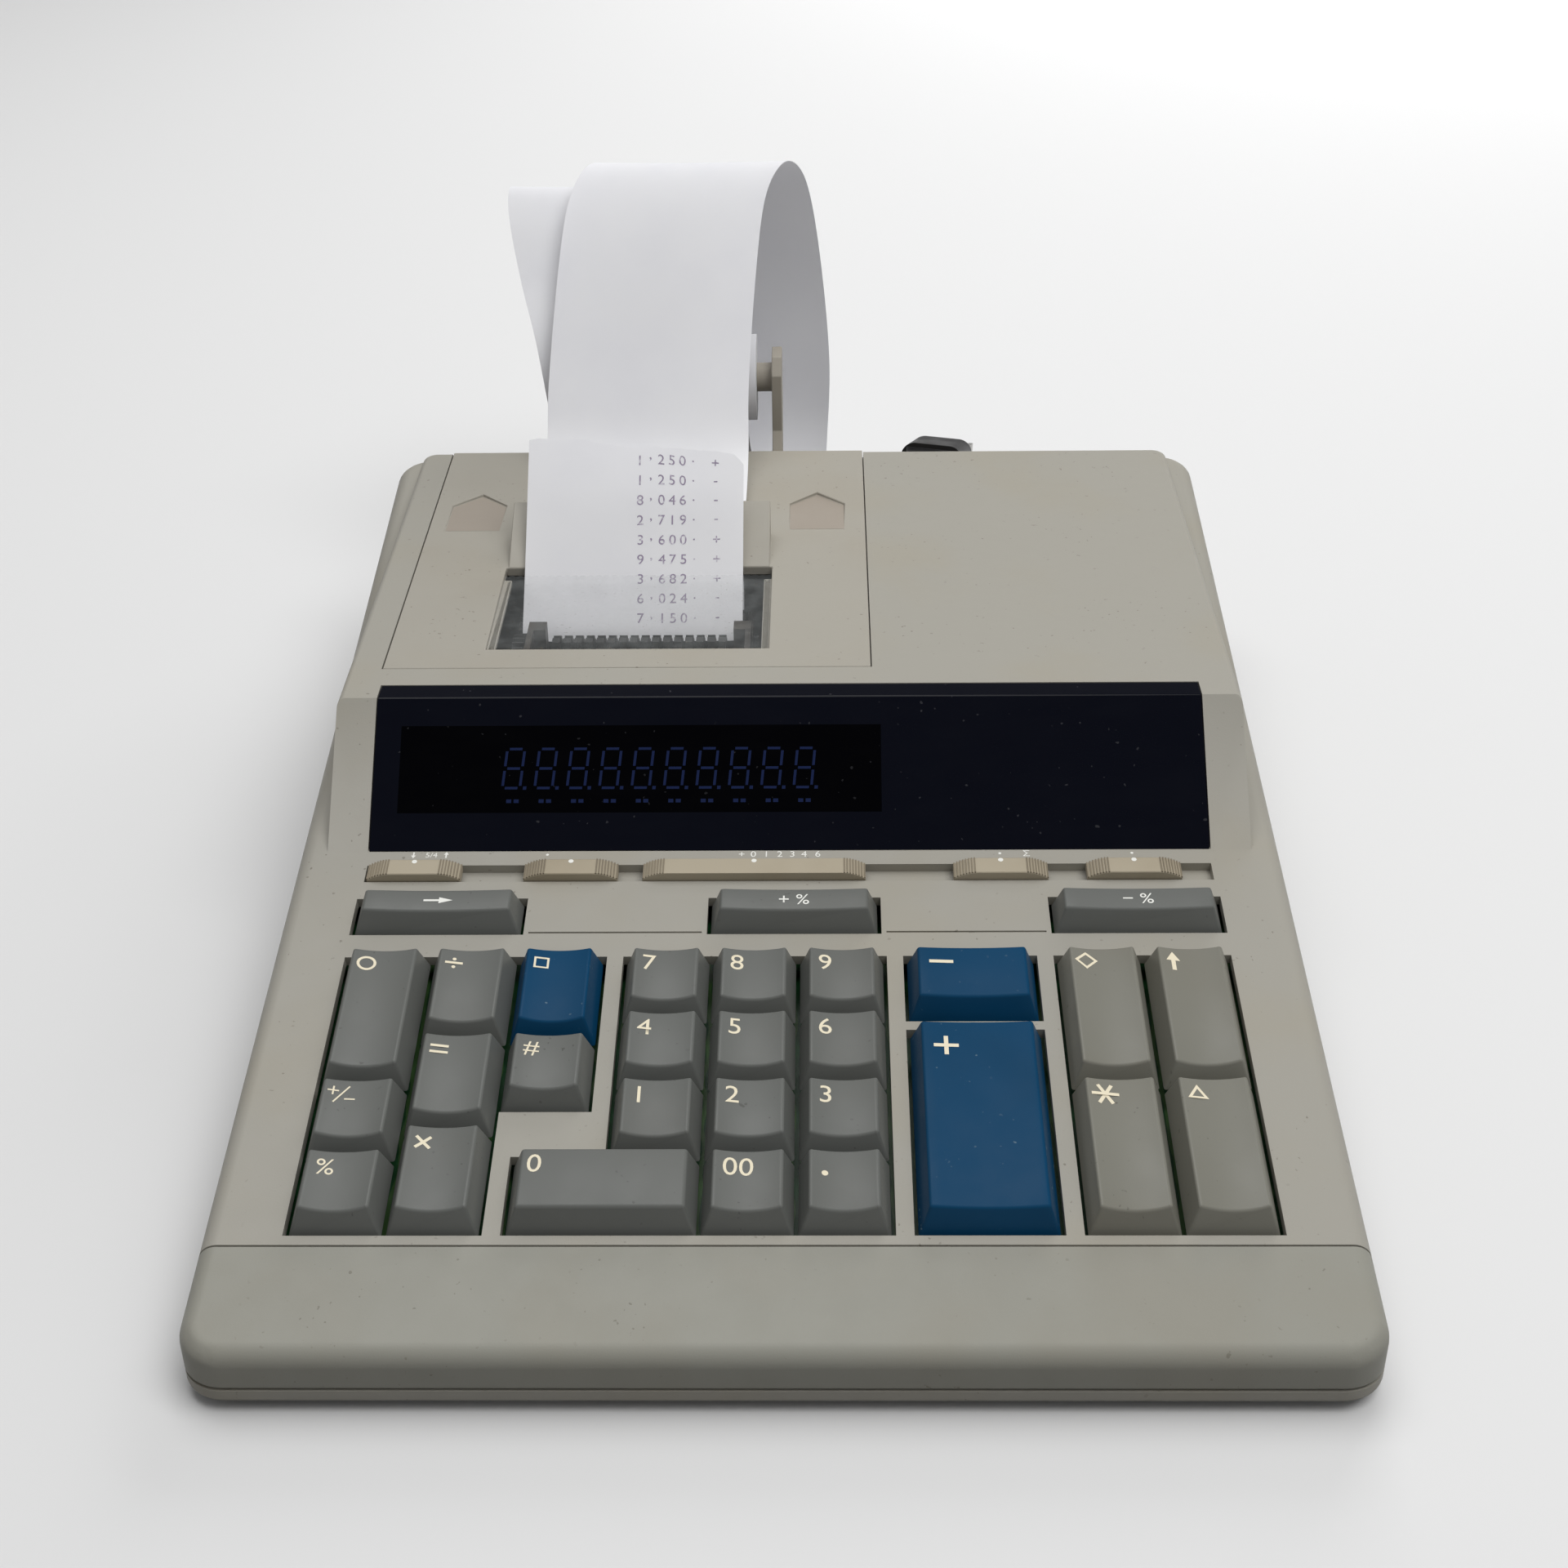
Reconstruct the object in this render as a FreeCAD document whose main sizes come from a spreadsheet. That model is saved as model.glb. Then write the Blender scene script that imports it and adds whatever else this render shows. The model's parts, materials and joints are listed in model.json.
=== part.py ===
import FreeCAD, Part
import math
import os
import re

import Sketcher

# Desk-top printing calculator with a sloping key deck, a raised printer housing and a paper roll.
# Millimetres. X runs to the right, Y to the rear and Z up; Z = 0 is the desk under the feet.
# Two working frames: the machine frame, whose Y = 0 is the lower edge of the key openings, and
# the deck frame, tilted with the key deck, whose v runs up the deck and n stands square to it.

SIZES = [
    ("case_width", 227.6, "width of the case"),
    ("case_back", 281.0, "rear wall, from the lower edge of the keys"),
    ("palm_front", 28.2, "front face, ahead of the lower edge of the keys"),
    ("case_bottom", 2.5, "height of the case over the desk"),
    ("seam_height", 6.4, "joint between lower and upper case"),
    ("wall", 2.5, "moulded wall"),
    ("corner_radius", 9.0, "upright corners of the case"),
    ("shoulder_radius", 4.0, "upper edges of the case and nose of the palm rest"),
    ("deck_angle", 8.0, "slope of the key deck"),
    ("deck_height", 18.75, "height of the deck at the lower edge of the keys"),
    ("origin_to_deck", 169.97, "middle of the machine, behind the lower edge of the keys"),
    ("palm_seam", 2.6, "joint of the palm rest, ahead of the keys"),
    ("palm_gap", 0.3, "gap in that joint"),
    ("housing_width", 214.0, "raised printer housing"),
    ("housing_top", 59.0, "height of its level top"),
    ("housing_corner", 4.0, "upright rear corners of the housing"),
    ("housing_edge", 1.6, "upper edges of the housing"),
    ("lens_width", 194.8, "display lens"),
    ("lens_foot", 110.2, "lower edge of the lens"),
    ("lens_run", 28.7, "depth of its sloping face"),
    ("lens_lip", 5.9, "depth of its level top"),
    ("lens_thick", 2.4, "thickness of the lens"),
    ("lens_gap", 0.2, "gap round the lens"),
    ("tube_width", 112.0, "fluorescent display tube"),
    ("tube_height", 25.0, "height of the tube up the slope"),
    ("tube_foot", 6.5, "tube above the lower edge of the lens, up the slope"),
    ("tube_thick", 6.0, "depth of the tube"),
    ("card_margin", 2.0, "circuit card round the tube"),
    ("tube_centre", -34.8, "middle of the tube from the middle of the case"),
    ("cover_left", -98.5, "left edge of the printer cover"),
    ("cover_right", 19.8, "right edge of the printer cover"),
    ("cover_front", 153.2, "front edge of the printer cover"),
    ("cover_thick", 2.5, "thickness of the printer cover"),
    ("cover_gap", 0.3, "gap round the printer cover"),
    ("cover_ledge", 2.5, "ledge that carries the printer cover"),
    ("ledge_thick", 2.0, "thickness of that ledge"),
    ("window_left", -74.7, "left edge of the paper window"),
    ("window_right", -5.0, "right edge of the paper window"),
    ("window_front", 162.6, "front edge of the paper window"),
    ("tear_edge", 201.8, "rear edge of the paper window, which tears the tape"),
    ("window_thick", 1.4, "thickness of the paper window"),
    ("window_low", 57.9, "underside of the paper window"),
    ("window_seat", 2.0, "seats at the sides of the window"),
    ("window_room", 0.15, "gap round the window"),
    ("tear_count", 34, "teeth on the tear edge"),
    ("tear_notch", 1.2, "side of a notch in the tear edge"),
    ("pad_front", 228.2, "front edge of the finger pads on the cover"),
    ("pad_side", 17.0, "straight sides of a finger pad"),
    ("pad_length", 24.4, "length of a finger pad"),
    ("pad_width", 15.0, "width of a finger pad"),
    ("pad_inset", 11.8, "middle of a finger pad from the window"),
    ("pad_slope", 2.0, "fall of a finger pad to the rear, in degrees"),
    ("hood_front", 206.8, "foot of the paper hood"),
    ("hood_back", 226.0, "mouth of the paper hood"),
    ("hood_rise", 10.0, "height of the hood over the cover"),
    ("hood_wall", 1.6, "wall of the hood"),
    ("hood_taper", 0.6, "how far each side of the hood leans in"),
    ("pitch", 19.05, "key pitch, both ways"),
    ("block_gap", 4.37, "gap between blocks of keys"),
    ("opening_room", 0.4, "how far an opening stands out past its cells"),
    ("cap_margin", 0.45, "gap between a keycap and its cell"),
    ("cap_base", -1.5, "rim of a keycap, from the deck"),
    ("cap_top", 5.0, "top of a keycap, from the deck"),
    ("cap_wall", 1.3, "wall of a keycap"),
    ("dish_shallow", 0.45, "dish of the broad keycaps"),
    ("cap_roof", 2.6, "inside of a keycap, below its top"),
    ("cap_side", 2.2, "lean of a keycap's side faces"),
    ("cap_nose", 2.4, "lean of a keycap's front face"),
    ("cap_rear", 1.2, "lean of a keycap's rear face"),
    ("dish_depth", 1.1, "hollow of a keycap's top"),
    ("stem_width", 4.0, "square stem of a keycap"),
    ("stem_foot", -5.2, "lower end of the stem, from the deck"),
    ("stem_room", 0.2, "gap between a stem and its hole"),
    ("switch_width", 12.0, "key switch across"),
    ("switch_room", 1.2, "gap between a switch and the inside of its cap"),
    ("switch_depth", 12.0, "key switch along the deck"),
    ("switch_top", -4.0, "top of the switches, from the deck"),
    ("board_top", -9.0, "top of the keyboard board, from the deck"),
    ("board_thick", 1.6, "keyboard board"),
    ("board_inset", 13.8, "sides of the keyboard board from the sides of the case"),
    ("board_front", 1.0, "front edge of the board"),
    ("board_rear", 109.0, "rear edge of the board"),
    ("chip_width", 36.0, "chips under the board"),
    ("chip_depth", 14.0, "chips under the board"),
    ("chip_thick", 4.0, "chips under the board"),
    ("chip_front", 60.0, "front of the chips"),
    ("wide_front", 84.0, "lower edge of the wide keys"),
    ("wide_depth", 11.0, "depth of the wide keys"),
    ("wide_spread", 78.2, "outer wide keys from the middle"),
    ("wide_shift", 1.6, "middle wide key from the middle"),
    ("recess_front", 101.0, "lower edge of the selector slot"),
    ("recess_depth", 5.6, "selector slot along the deck"),
    ("recess_width", 194.0, "selector slot across"),
    ("knob_depth", 5.0, "selector knob along the deck"),
    ("knob_top", 2.2, "top of a selector knob, from the deck"),
    ("knob_foot", -1.2, "underside of a selector knob, from the deck"),
    ("knob_narrow", 21.6, "short selector knob"),
    ("knob_long", 51.0, "long selector knob"),
    ("knob_stem", 3.0, "tongue of a knob"),
    ("groove_width", 0.5, "line between the wide keys, across and deep"),
    ("groove_gap", 1.5, "gap between that line and a wide key's cell"),
    ("knob_ramp", 5.5, "sloping end of a selector knob"),
    ("knob_drop", 1.8, "fall of that end"),
    ("trough_floor", -2.3, "floor of the selector slot, from the deck"),
    ("trough_thick", 1.2, "thickness of that floor"),
    ("slider_top", -3.9, "top of a slide switch, from the deck"),
    ("slider_end", 5.0, "slide switch past its tongue's travel"),
    ("wheel_y", 181.0, "axis of the type wheels"),
    ("wheel_z", 42.0, "height of the printer's shafts"),
    ("wheel_tip", 9.5, "radius over the type"),
    ("wheel_rim", 8.1, "radius of a type wheel under its type"),
    ("wheel_count", 16, "number of type wheels"),
    ("wheel_pitch", 2.82, "spacing of the type wheels"),
    ("wheel_wide", 1.9, "width of a type wheel"),
    ("wheel_middle", -38.5, "middle of the row of type wheels"),
    ("type_count", 12, "type faces round a wheel"),
    ("paper_middle", -41.0, "middle of the paper"),
    ("paper_width", 57.0, "width of the paper"),
    ("shaft_radius", 1.5, "shafts of the printer"),
    ("shaft_room", 0.08, "radial gap of a shaft in its bearing"),
    ("ink_radius", 6.0, "ink roller"),
    ("roller_gap", 0.3, "gap between the type and a roller"),
    ("frame_left", -67.0, "outer face of the left printer plate"),
    ("frame_right", -10.0, "outer face of the right printer plate"),
    ("plate_thick", 1.5, "plates of the printer frame"),
    ("frame_top", 53.0, "top of the printer plates"),
    ("post_width", 4.5, "posts that guide the paper at its edges"),
    ("frame_shelf", 45.0, "top of the printer plates under the paper"),
    ("guide_back", 188.0, "rear of the tall part of the plates"),
    ("frame_front", 155.5, "front of the printer plates"),
    ("frame_back", 208.0, "rear of the printer plates"),
    ("gear_module", 0.6, "tooth module of the printer's gears"),
    ("wheel_teeth", 32, "teeth of the type wheel gear"),
    ("platen_teeth", 24, "teeth of the platen gear"),
    ("pinion_teeth", 12, "teeth of the motor pinion"),
    ("gear_wide", 3.0, "width of the gears"),
    ("gear_room", 0.6, "gap beside the gears"),
    ("motor_radius", 12.0, "motor can"),
    ("motor_length", 18.0, "motor can"),
    ("motor_nose", 4.0, "motor bearing"),
    ("arm_right", -3.5, "outer face of the paper arm"),
    ("arm_thick", 2.9, "thickness of the paper arm"),
    ("arm_low", 30.0, "lower edge of the paper arm"),
    ("arm_high", 50.0, "top of the arm's foot"),
    ("arm_half", 8.5, "half width of the arm"),
    ("arm_tip", 7.8, "tip of the arm over the roll axis"),
    ("roll_y", 305.0, "axis of the paper roll"),
    ("roll_z", 72.0, "height of the paper roll's axis"),
    ("roll_radius", 12.1, "paper left on the roll"),
    ("boss_radius", 4.2, "spindle that carries the roll"),
    ("foot_width", 14.0, "width of the arm's foot"),
    ("flange_radius", 12.5, "end flanges of the roll"),
    ("flange_thick", 1.6, "end flanges of the roll"),
    ("paper_thick", 0.4, "paper web"),
    ("inlet_height", 4.2, "paper over the cover at the mouth of the hood"),
    ("foot_radius", 7.0, "rubber feet"),
    ("foot_inset", 20.0, "feet from the sides of the case"),
    ("foot_front", -10.0, "front feet"),
    ("foot_rear", 262.0, "rear feet"),
    ("screw_radius", 1.5, "case screws"),
    ("screw_head", 2.9, "head of the case screws"),
    ("boss_wall", 2.4, "wall of the screw bosses"),
    ("screw_inset", 6.2, "screws from the sides of the case"),
    ("screw_front", 14.0, "front screws"),
    ("screw_rear", 258.0, "rear screws"),
    ("screw_grip", 12.0, "screw above the joint of the case"),
    ("screw_room", 0.05, "gap round the screws"),
    ("head_depth", 1.8, "depth of the wells for the screw heads"),
    ("pan_edge", 1.2, "lower edge of the lower case"),
    ("reveal", 0.7, "groove at the joint of the lower case, high and deep"),
    ("post_radius", 3.0, "posts under the keyboard board"),
    ("post_spread", 92.0, "posts from the middle"),
    ("post_front", 8.0, "front posts"),
    ("post_rear", 98.0, "rear posts"),
    ("core_left", 38.0, "left side of the transformer"),
    ("core_width", 52.0, "transformer core across"),
    ("core_front", 205.0, "front of the transformer"),
    ("core_depth", 24.0, "stack of the transformer core"),
    ("core_height", 43.0, "transformer core"),
    ("core_leg", 8.0, "legs and mounting ears of the core"),
    ("coil_bulge", 9.0, "winding in front of and behind the core"),
    ("cord_diameter", 6.5, "mains cord"),
    ("cord_x", 55.0, "where the cord leaves the rear wall"),
    ("cord_z", 10.5, "height of the cord at the rear wall"),
    ("relief_length", 20.0, "strain relief outside the wall"),
    ("relief_radius", 6.0, "strain relief at the wall"),
    ("relief_tip", 4.4, "strain relief at its tip"),
    ("plug_length", 27.0, "body of the mains plug"),
    ("plug_width", 20.0, "body of the mains plug"),
    ("plug_thick", 13.5, "body of the mains plug"),
    ("plug_round", 4.5, "rounding of the plug's body"),
    ("plug_tilt", 15.0, "how far the plug points down, in degrees"),
    ("blade_length", 17.0, "blades of the plug"),
    ("blade_width", 6.4, "blades of the plug"),
    ("blade_thick", 1.5, "blades of the plug"),
    ("blade_spread", 12.7, "middle to middle of the blades"),
]

doc = FreeCAD.newDocument("printing_calculator")
sheet = doc.addObject("Spreadsheet::Sheet", "Sizes")
for row, (alias, amount, note) in enumerate(SIZES, start=1):
    sheet.set("A%d" % row, note)
    sheet.set("B%d" % row, str(amount))
    sheet.setAlias("B%d" % row, alias)
doc.recompute()
ALIASES = {alias for alias, amount, note in SIZES}
pieces = {}


def formula(text):
    """Write a size formula with the sheet's name in front of each of its sizes."""
    return re.sub(
        r"[a-z_][a-z_0-9]*",
        lambda word: "Sizes." + word.group(0) if word.group(0) in ALIASES else word.group(0),
        str(text),
    )


def size(text):
    """Work out the number that a size formula stands for."""
    return float(sheet.evalExpression(formula(text)))


def bind(item, **formulas):
    """Tie properties of an item to size formulas; two underscores stand for a dot."""
    for name, text in formulas.items():
        item.setExpression(name.replace("__", "."), formula(text))


def put(item, x="0", y="0", z="0"):
    """Tie the place of an item to size formulas."""
    bind(item, Placement__Base__x=x, Placement__Base__y=y, Placement__Base__z=z)
    return item


def box(x, y, z, wide, deep, tall):
    """Box from its lowest corner and its three sizes."""
    item = doc.addObject("Part::Box", "Box")
    bind(item, Length=wide, Width=deep, Height=tall)
    return put(item, x, y, z)


def span(x, y, z):
    """Box from the two limits that it has along each axis."""
    limits = [(low, "(%s) - (%s)" % (high, low)) for low, high in (x, y, z)]
    return box(*[low for low, reach in limits], *[reach for low, reach in limits])


def rod(axis, radius, length, x, y, z):
    """Cylinder along an axis, from the middle of its first end."""
    item = doc.addObject("Part::Cylinder", "Rod")
    bind(item, Radius=radius, Height=length)
    turn = FreeCAD.Rotation(FreeCAD.Vector(0, 0, 1), axis)
    item.Placement = FreeCAD.Placement(FreeCAD.Vector(), turn)
    return put(item, x, y, z)


ALONG_X = FreeCAD.Vector(1, 0, 0)
ALONG_Y = FreeCAD.Vector(0, 1, 0)
ALONG_Z = FreeCAD.Vector(0, 0, 1)


def join(*items):
    """Fuse items into one solid."""
    fused = doc.addObject("Part::MultiFuse", "Fuse")
    fused.Shapes = list(items)
    fused.Refine = True
    return fused


def carve(base, *tools):
    """Cut tools out of a base."""
    cut = doc.addObject("Part::Cut", "Cut")
    cut.Base = base
    cut.Tool = tools[0] if len(tools) == 1 else join(*tools)
    return cut


def bunch(items):
    """Keep items as separate solids of one piece."""
    group = doc.addObject("Part::Compound", "Group")
    group.Links = list(items)
    return group


def outline(body, plane_role, points):
    """Sketch a closed outline on one of a body's own planes, each corner tied to two formulas."""
    sketch = body.newObject("Sketcher::SketchObject", "Outline")
    planes = [plane for plane in body.Origin.OriginFeatures if plane.Role == plane_role]
    sketch.AttachmentSupport = [(planes[0], "")]
    sketch.MapMode = "FlatFace"
    corners = [FreeCAD.Vector(size(across), size(up), 0) for across, up in points]
    for start, end in zip(corners, corners[1:] + corners[:1]):
        sketch.addGeometry(Part.LineSegment(start, end), False)
    for index in range(len(points)):
        sketch.addConstraint(Sketcher.Constraint("Coincident", index, 2, (index + 1) % len(points), 1))
    for index, (across, up) in enumerate(points):
        for kind, text in (("DistanceX", across), ("DistanceY", up)):
            number = sketch.addConstraint(Sketcher.Constraint(kind, -1, 1, index, 1, size(text)))
            sketch.setExpression("Constraints[%d]" % number, formula(text))
    return sketch


def prism(plane_role, points, length, symmetric=True):
    """Body padded from an outline, to both sides of its plane or along the plane's normal."""
    body = doc.addObject("PartDesign::Body", "Body")
    pad = body.newObject("PartDesign::Pad", "Pad")
    pad.Profile = outline(body, plane_role, points)
    pad.SideType = "Symmetric" if symmetric else "One side"
    bind(pad, Length=length)
    doc.recompute()
    return body


def round_edges(body, radius, chosen):
    """Round the edges of a body's last feature that a test picks."""
    base = body.Tip
    names = ["Edge%d" % number for number, edge in enumerate(base.Shape.Edges, 1) if chosen(edge)]
    fillet = body.newObject("PartDesign::Fillet", "Round")
    fillet.Base = (base, names)
    bind(fillet, Radius=radius)
    doc.recompute()
    return body


def is_upright(edge):
    """Tell whether a straight edge runs along Z."""
    start, end = edge.Vertexes[0].Point, edge.Vertexes[-1].Point
    return abs((end - start).normalize().z) > 0.999


def piece(name, item, tilted=False):
    """Name a finished sub-part and set it in the machine, on the slope of the deck if tilted."""
    item.Label = name
    if tilted:
        item.Placement = FreeCAD.Placement(FreeCAD.Vector(), FreeCAD.Rotation(ALONG_X, 1))
        bind(item, Placement__Rotation__Angle="deck_angle")
    put(item, "0", "-origin_to_deck", "deck_height" if tilted else "0")
    pieces[name] = item
    return item


def on_deck(item):
    """Tilt a tool from the deck frame into the machine frame."""
    item.Placement = FreeCAD.Placement(FreeCAD.Vector(), FreeCAD.Rotation(ALONG_X, 1))
    bind(item, Placement__Rotation__Angle="deck_angle")
    return put(item, "0", "0", "deck_height")


def deck(y):
    """Height of the deck plane at a place along the machine."""
    return "(deck_height + (%s) * tan(deck_angle))" % y


HALF_CASE = "(case_width / 2)"
DECK_WALL = "(wall / cos(deck_angle))"
LENS_RISE = "(housing_top - %s)" % deck("lens_foot")
LENS_FACE = "sqrt(lens_run ^ 2 + %s ^ 2)" % LENS_RISE


def slope_point(along, depth):
    """Point beside the sloping lens face: along it from its foot, and behind it."""
    across = "lens_foot + ((%s) * lens_run + (%s) * %s) / %s" % (along, depth, LENS_RISE, LENS_FACE)
    up = "%s + ((%s) * %s - (%s) * lens_run) / %s" % (deck("lens_foot"), along, LENS_RISE, depth, LENS_FACE)
    return across, up


def behind_slope(up, depth):
    """Point at a height on the line that runs behind the lens face at a depth."""
    along = "lens_run * ((%s) - %s) / %s" % (up, deck("lens_foot"), LENS_RISE)
    return "lens_foot + %s + (%s) * %s / %s" % (along, depth, LENS_FACE, LENS_RISE), up


def is_long_top(edge):
    """Tell whether an edge lies along one side of the case on the deck."""
    ends = [vertex.Point for vertex in edge.Vertexes]
    far_out = all(abs(point.x) > size(HALF_CASE) - 0.01 for point in ends)
    one_side = ends[0].x * ends[-1].x > 0
    raised = min(point.z for point in ends) > size("seam_height") + 0.01
    return far_out and one_side and raised and not is_upright(edge)


# The wedge of the upper case, from the palm rest's joint to the rear wall
wedge = prism("YZ_Plane", [
    ("-palm_seam", "seam_height"),
    ("case_back", "seam_height"),
    ("case_back", deck("case_back")),
    ("-palm_seam", deck("-palm_seam")),
], "case_width")
round_edges(wedge, "corner_radius", lambda edge: is_upright(edge) and edge.Vertexes[0].Point.y > 0)
round_edges(wedge, "shoulder_radius", is_long_top)

wedge_room = prism("YZ_Plane", [
    ("wall - palm_seam", "seam_height - wall"),
    ("case_back - wall", "seam_height - wall"),
    ("case_back - wall", deck("case_back - wall") + " - " + DECK_WALL),
    ("wall - palm_seam", deck("wall - palm_seam") + " - " + DECK_WALL),
], "case_width - 2 * wall")
round_edges(wedge_room, "corner_radius - wall",
            lambda edge: is_upright(edge) and edge.Vertexes[0].Point.y > size("wall"))

# The raised housing over the printer, with the slope that holds the lens
HOUSING_LOW = "(%s - 2 * wall)" % deck("lens_foot")
housing = prism("YZ_Plane", [
    ("lens_foot", HOUSING_LOW),
    ("lens_foot", deck("lens_foot")),
    ("lens_foot + lens_run", "housing_top"),
    ("case_back", "housing_top"),
    ("case_back", HOUSING_LOW),
], "housing_width")
round_edges(
    housing, "housing_corner",
    lambda edge: is_upright(edge) and edge.Vertexes[0].Point.y > size("cover_front"),
)
round_edges(housing, "housing_edge", lambda edge: (
    abs(edge.Vertexes[0].Point.z - size("housing_top")) < 0.01
    and abs(edge.Vertexes[-1].Point.z - size("housing_top")) < 0.01
    and edge.Length > size("lens_run")
    and abs(edge.Vertexes[0].Point.x - edge.Vertexes[-1].Point.x) < 0.01
))
housing_room = prism("YZ_Plane", [
    behind_slope(HOUSING_LOW + " - wall", "wall"),
    behind_slope("housing_top - wall", "wall"),
    ("case_back - wall", "housing_top - wall"),
    ("case_back - wall", HOUSING_LOW + " - wall"),
], "housing_width - 2 * wall")
lens_room = prism("YZ_Plane", [
    ("lens_foot", deck("lens_foot")),
    ("lens_foot", "housing_top + wall"),
    ("lens_foot + lens_run + lens_lip + lens_gap", "housing_top + wall"),
    ("lens_foot + lens_run + lens_lip + lens_gap", deck("lens_foot")),
], "lens_width + 2 * lens_gap")

# The keys: name, block, left edge and width in key pitches, lower edge and depth in key pitches
LEFT, NUMERIC, TOTALS, RIGHT = range(4)
BLOCK_WIDTHS = (3, 3, 1.5, 2)
KEYS = [
    ("key_percent", LEFT, 0, 1, 0, 1),
    ("key_sign", LEFT, 0, 1, 1, 1),
    ("key_clear_all", LEFT, 0, 1, 2, 2),
    ("key_multiply", LEFT, 1, 1, 0, 4 / 3),
    ("key_equals", LEFT, 1, 1, 4 / 3, 4 / 3),
    ("key_divide", LEFT, 1, 1, 8 / 3, 4 / 3),
    ("key_item_count", LEFT, 2, 1, 5 / 3, 1),
    ("key_clear_entry", LEFT, 2, 1, 8 / 3, 4 / 3),
    ("key_0", NUMERIC, -1, 2, 0, 1),
    ("key_00", NUMERIC, 1, 1, 0, 1),
    ("key_point", NUMERIC, 2, 1, 0, 1),
    ("key_1", NUMERIC, 0, 1, 1, 1),
    ("key_2", NUMERIC, 1, 1, 1, 1),
    ("key_3", NUMERIC, 2, 1, 1, 1),
    ("key_4", NUMERIC, 0, 1, 2, 1),
    ("key_5", NUMERIC, 1, 1, 2, 1),
    ("key_6", NUMERIC, 2, 1, 2, 1),
    ("key_7", NUMERIC, 0, 1, 3, 1),
    ("key_8", NUMERIC, 1, 1, 3, 1),
    ("key_9", NUMERIC, 2, 1, 3, 1),
    ("key_plus", TOTALS, 0, 1.5, 0, 2.83),
    ("key_minus", TOTALS, 0, 1.5, 3, 1),
    ("key_total", RIGHT, 0, 1, 0, 2),
    ("key_no_add", RIGHT, 1, 1, 0, 2),
    ("key_subtotal", RIGHT, 0, 1, 2, 2),
    ("key_paper_feed", RIGHT, 1, 1, 2, 2),
]
FIELD_PITCHES = sum(BLOCK_WIDTHS)
WIDE_KEYS = [
    ("key_shift_right", "-wide_spread"),
    ("key_markup", "wide_shift"),
    ("key_change", "wide_spread"),
]


def cell(block, left, width, low, depth):
    """Middle and size of a key's cell on the deck, as formulas."""
    before = sum(BLOCK_WIDTHS[:block]) + left + width / 2 - FIELD_PITCHES / 2
    middle_x = "(pitch * %.9g + block_gap * %.9g)" % (before, block - (len(BLOCK_WIDTHS) - 1) / 2)
    middle_v = "(pitch * %.9g)" % (low + depth / 2)
    return middle_x, middle_v, "(pitch * %.9g)" % width, "(pitch * %.9g)" % depth


cells = {name: cell(*where) for name, *where in KEYS}
for name, middle in WIDE_KEYS:
    cells[name] = (middle, "(wide_front + wide_depth / 2)", "(pitch * 2)", "wide_depth")


def deck_opening(middle_x, middle_v, width, depth):
    """Cutter for a hole through the deck round a cell."""
    return box(
        "%s - %s / 2 - opening_room" % (middle_x, width),
        "%s - %s / 2 - opening_room" % (middle_v, depth),
        "-2 * wall",
        "%s + 2 * opening_room" % width,
        "%s + 2 * opening_room" % depth,
        "4 * wall",
    )


openings = [deck_opening(*place) for place in cells.values()]
openings.append(
    box("-recess_width / 2", "recess_front", "-2 * wall", "recess_width", "recess_depth", "4 * wall")
)
WIDE_EDGE = "(pitch + groove_gap)"
for low, high in (
    ("-wide_spread + " + WIDE_EDGE, "wide_shift - " + WIDE_EDGE),
    ("wide_shift + " + WIDE_EDGE, "wide_spread - " + WIDE_EDGE),
):
    openings.append(
        span((low, high), ("wide_front", "wide_front + groove_width"), ("-groove_width", "groove_width"))
    )

# The selectors: name, knob length, place at rest and travel to the left and to the right
SELECTORS = [
    ("selector_rounding", "knob_narrow", "-85.7", 0.0, 7.6),
    ("selector_print", "knob_narrow", "-49.7", 5.5, 0.0),
    ("selector_decimal", "knob_long", "-7.7", 3.0, 18.0),
    ("selector_sigma", "knob_narrow", "48.7", 0.0, 6.4),
    ("selector_grand_total", "knob_narrow", "79.1", 0.0, 6.4),
]
SLOT_MIDDLE = "(recess_front + recess_depth / 2)"
TONGUE_ROOM = "(knob_stem / 2 + stem_room)"
TONGUE_FRONT = SLOT_MIDDLE + " - " + TONGUE_ROOM
TONGUE_REAR = SLOT_MIDDLE + " + " + TONGUE_ROOM
tongue_reaches = {
    name: ("%s - %s - %s" % (middle, to_left, TONGUE_ROOM), "%s + %s + %s" % (middle, to_right, TONGUE_ROOM))
    for name, length, middle, to_left, to_right in SELECTORS
}

# Screw bosses stand inside the side walls; their screws come up through the lower case
SCREWS = [
    (side + "(%s - screw_inset)" % HALF_CASE, along)
    for side in ("", "-")
    for along in ("screw_front", "screw_rear")
]
bosses = [
    rod(
        ALONG_Z, "screw_radius + boss_wall", deck(along) + " - seam_height - wall / 2", x, along,
        "seam_height",
    )
    for x, along in SCREWS
]
boss_holes = [
    rod(ALONG_Z, "screw_radius + screw_room", "screw_grip + 1", x, along, "seam_height - 1")
    for x, along in SCREWS
]

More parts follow.
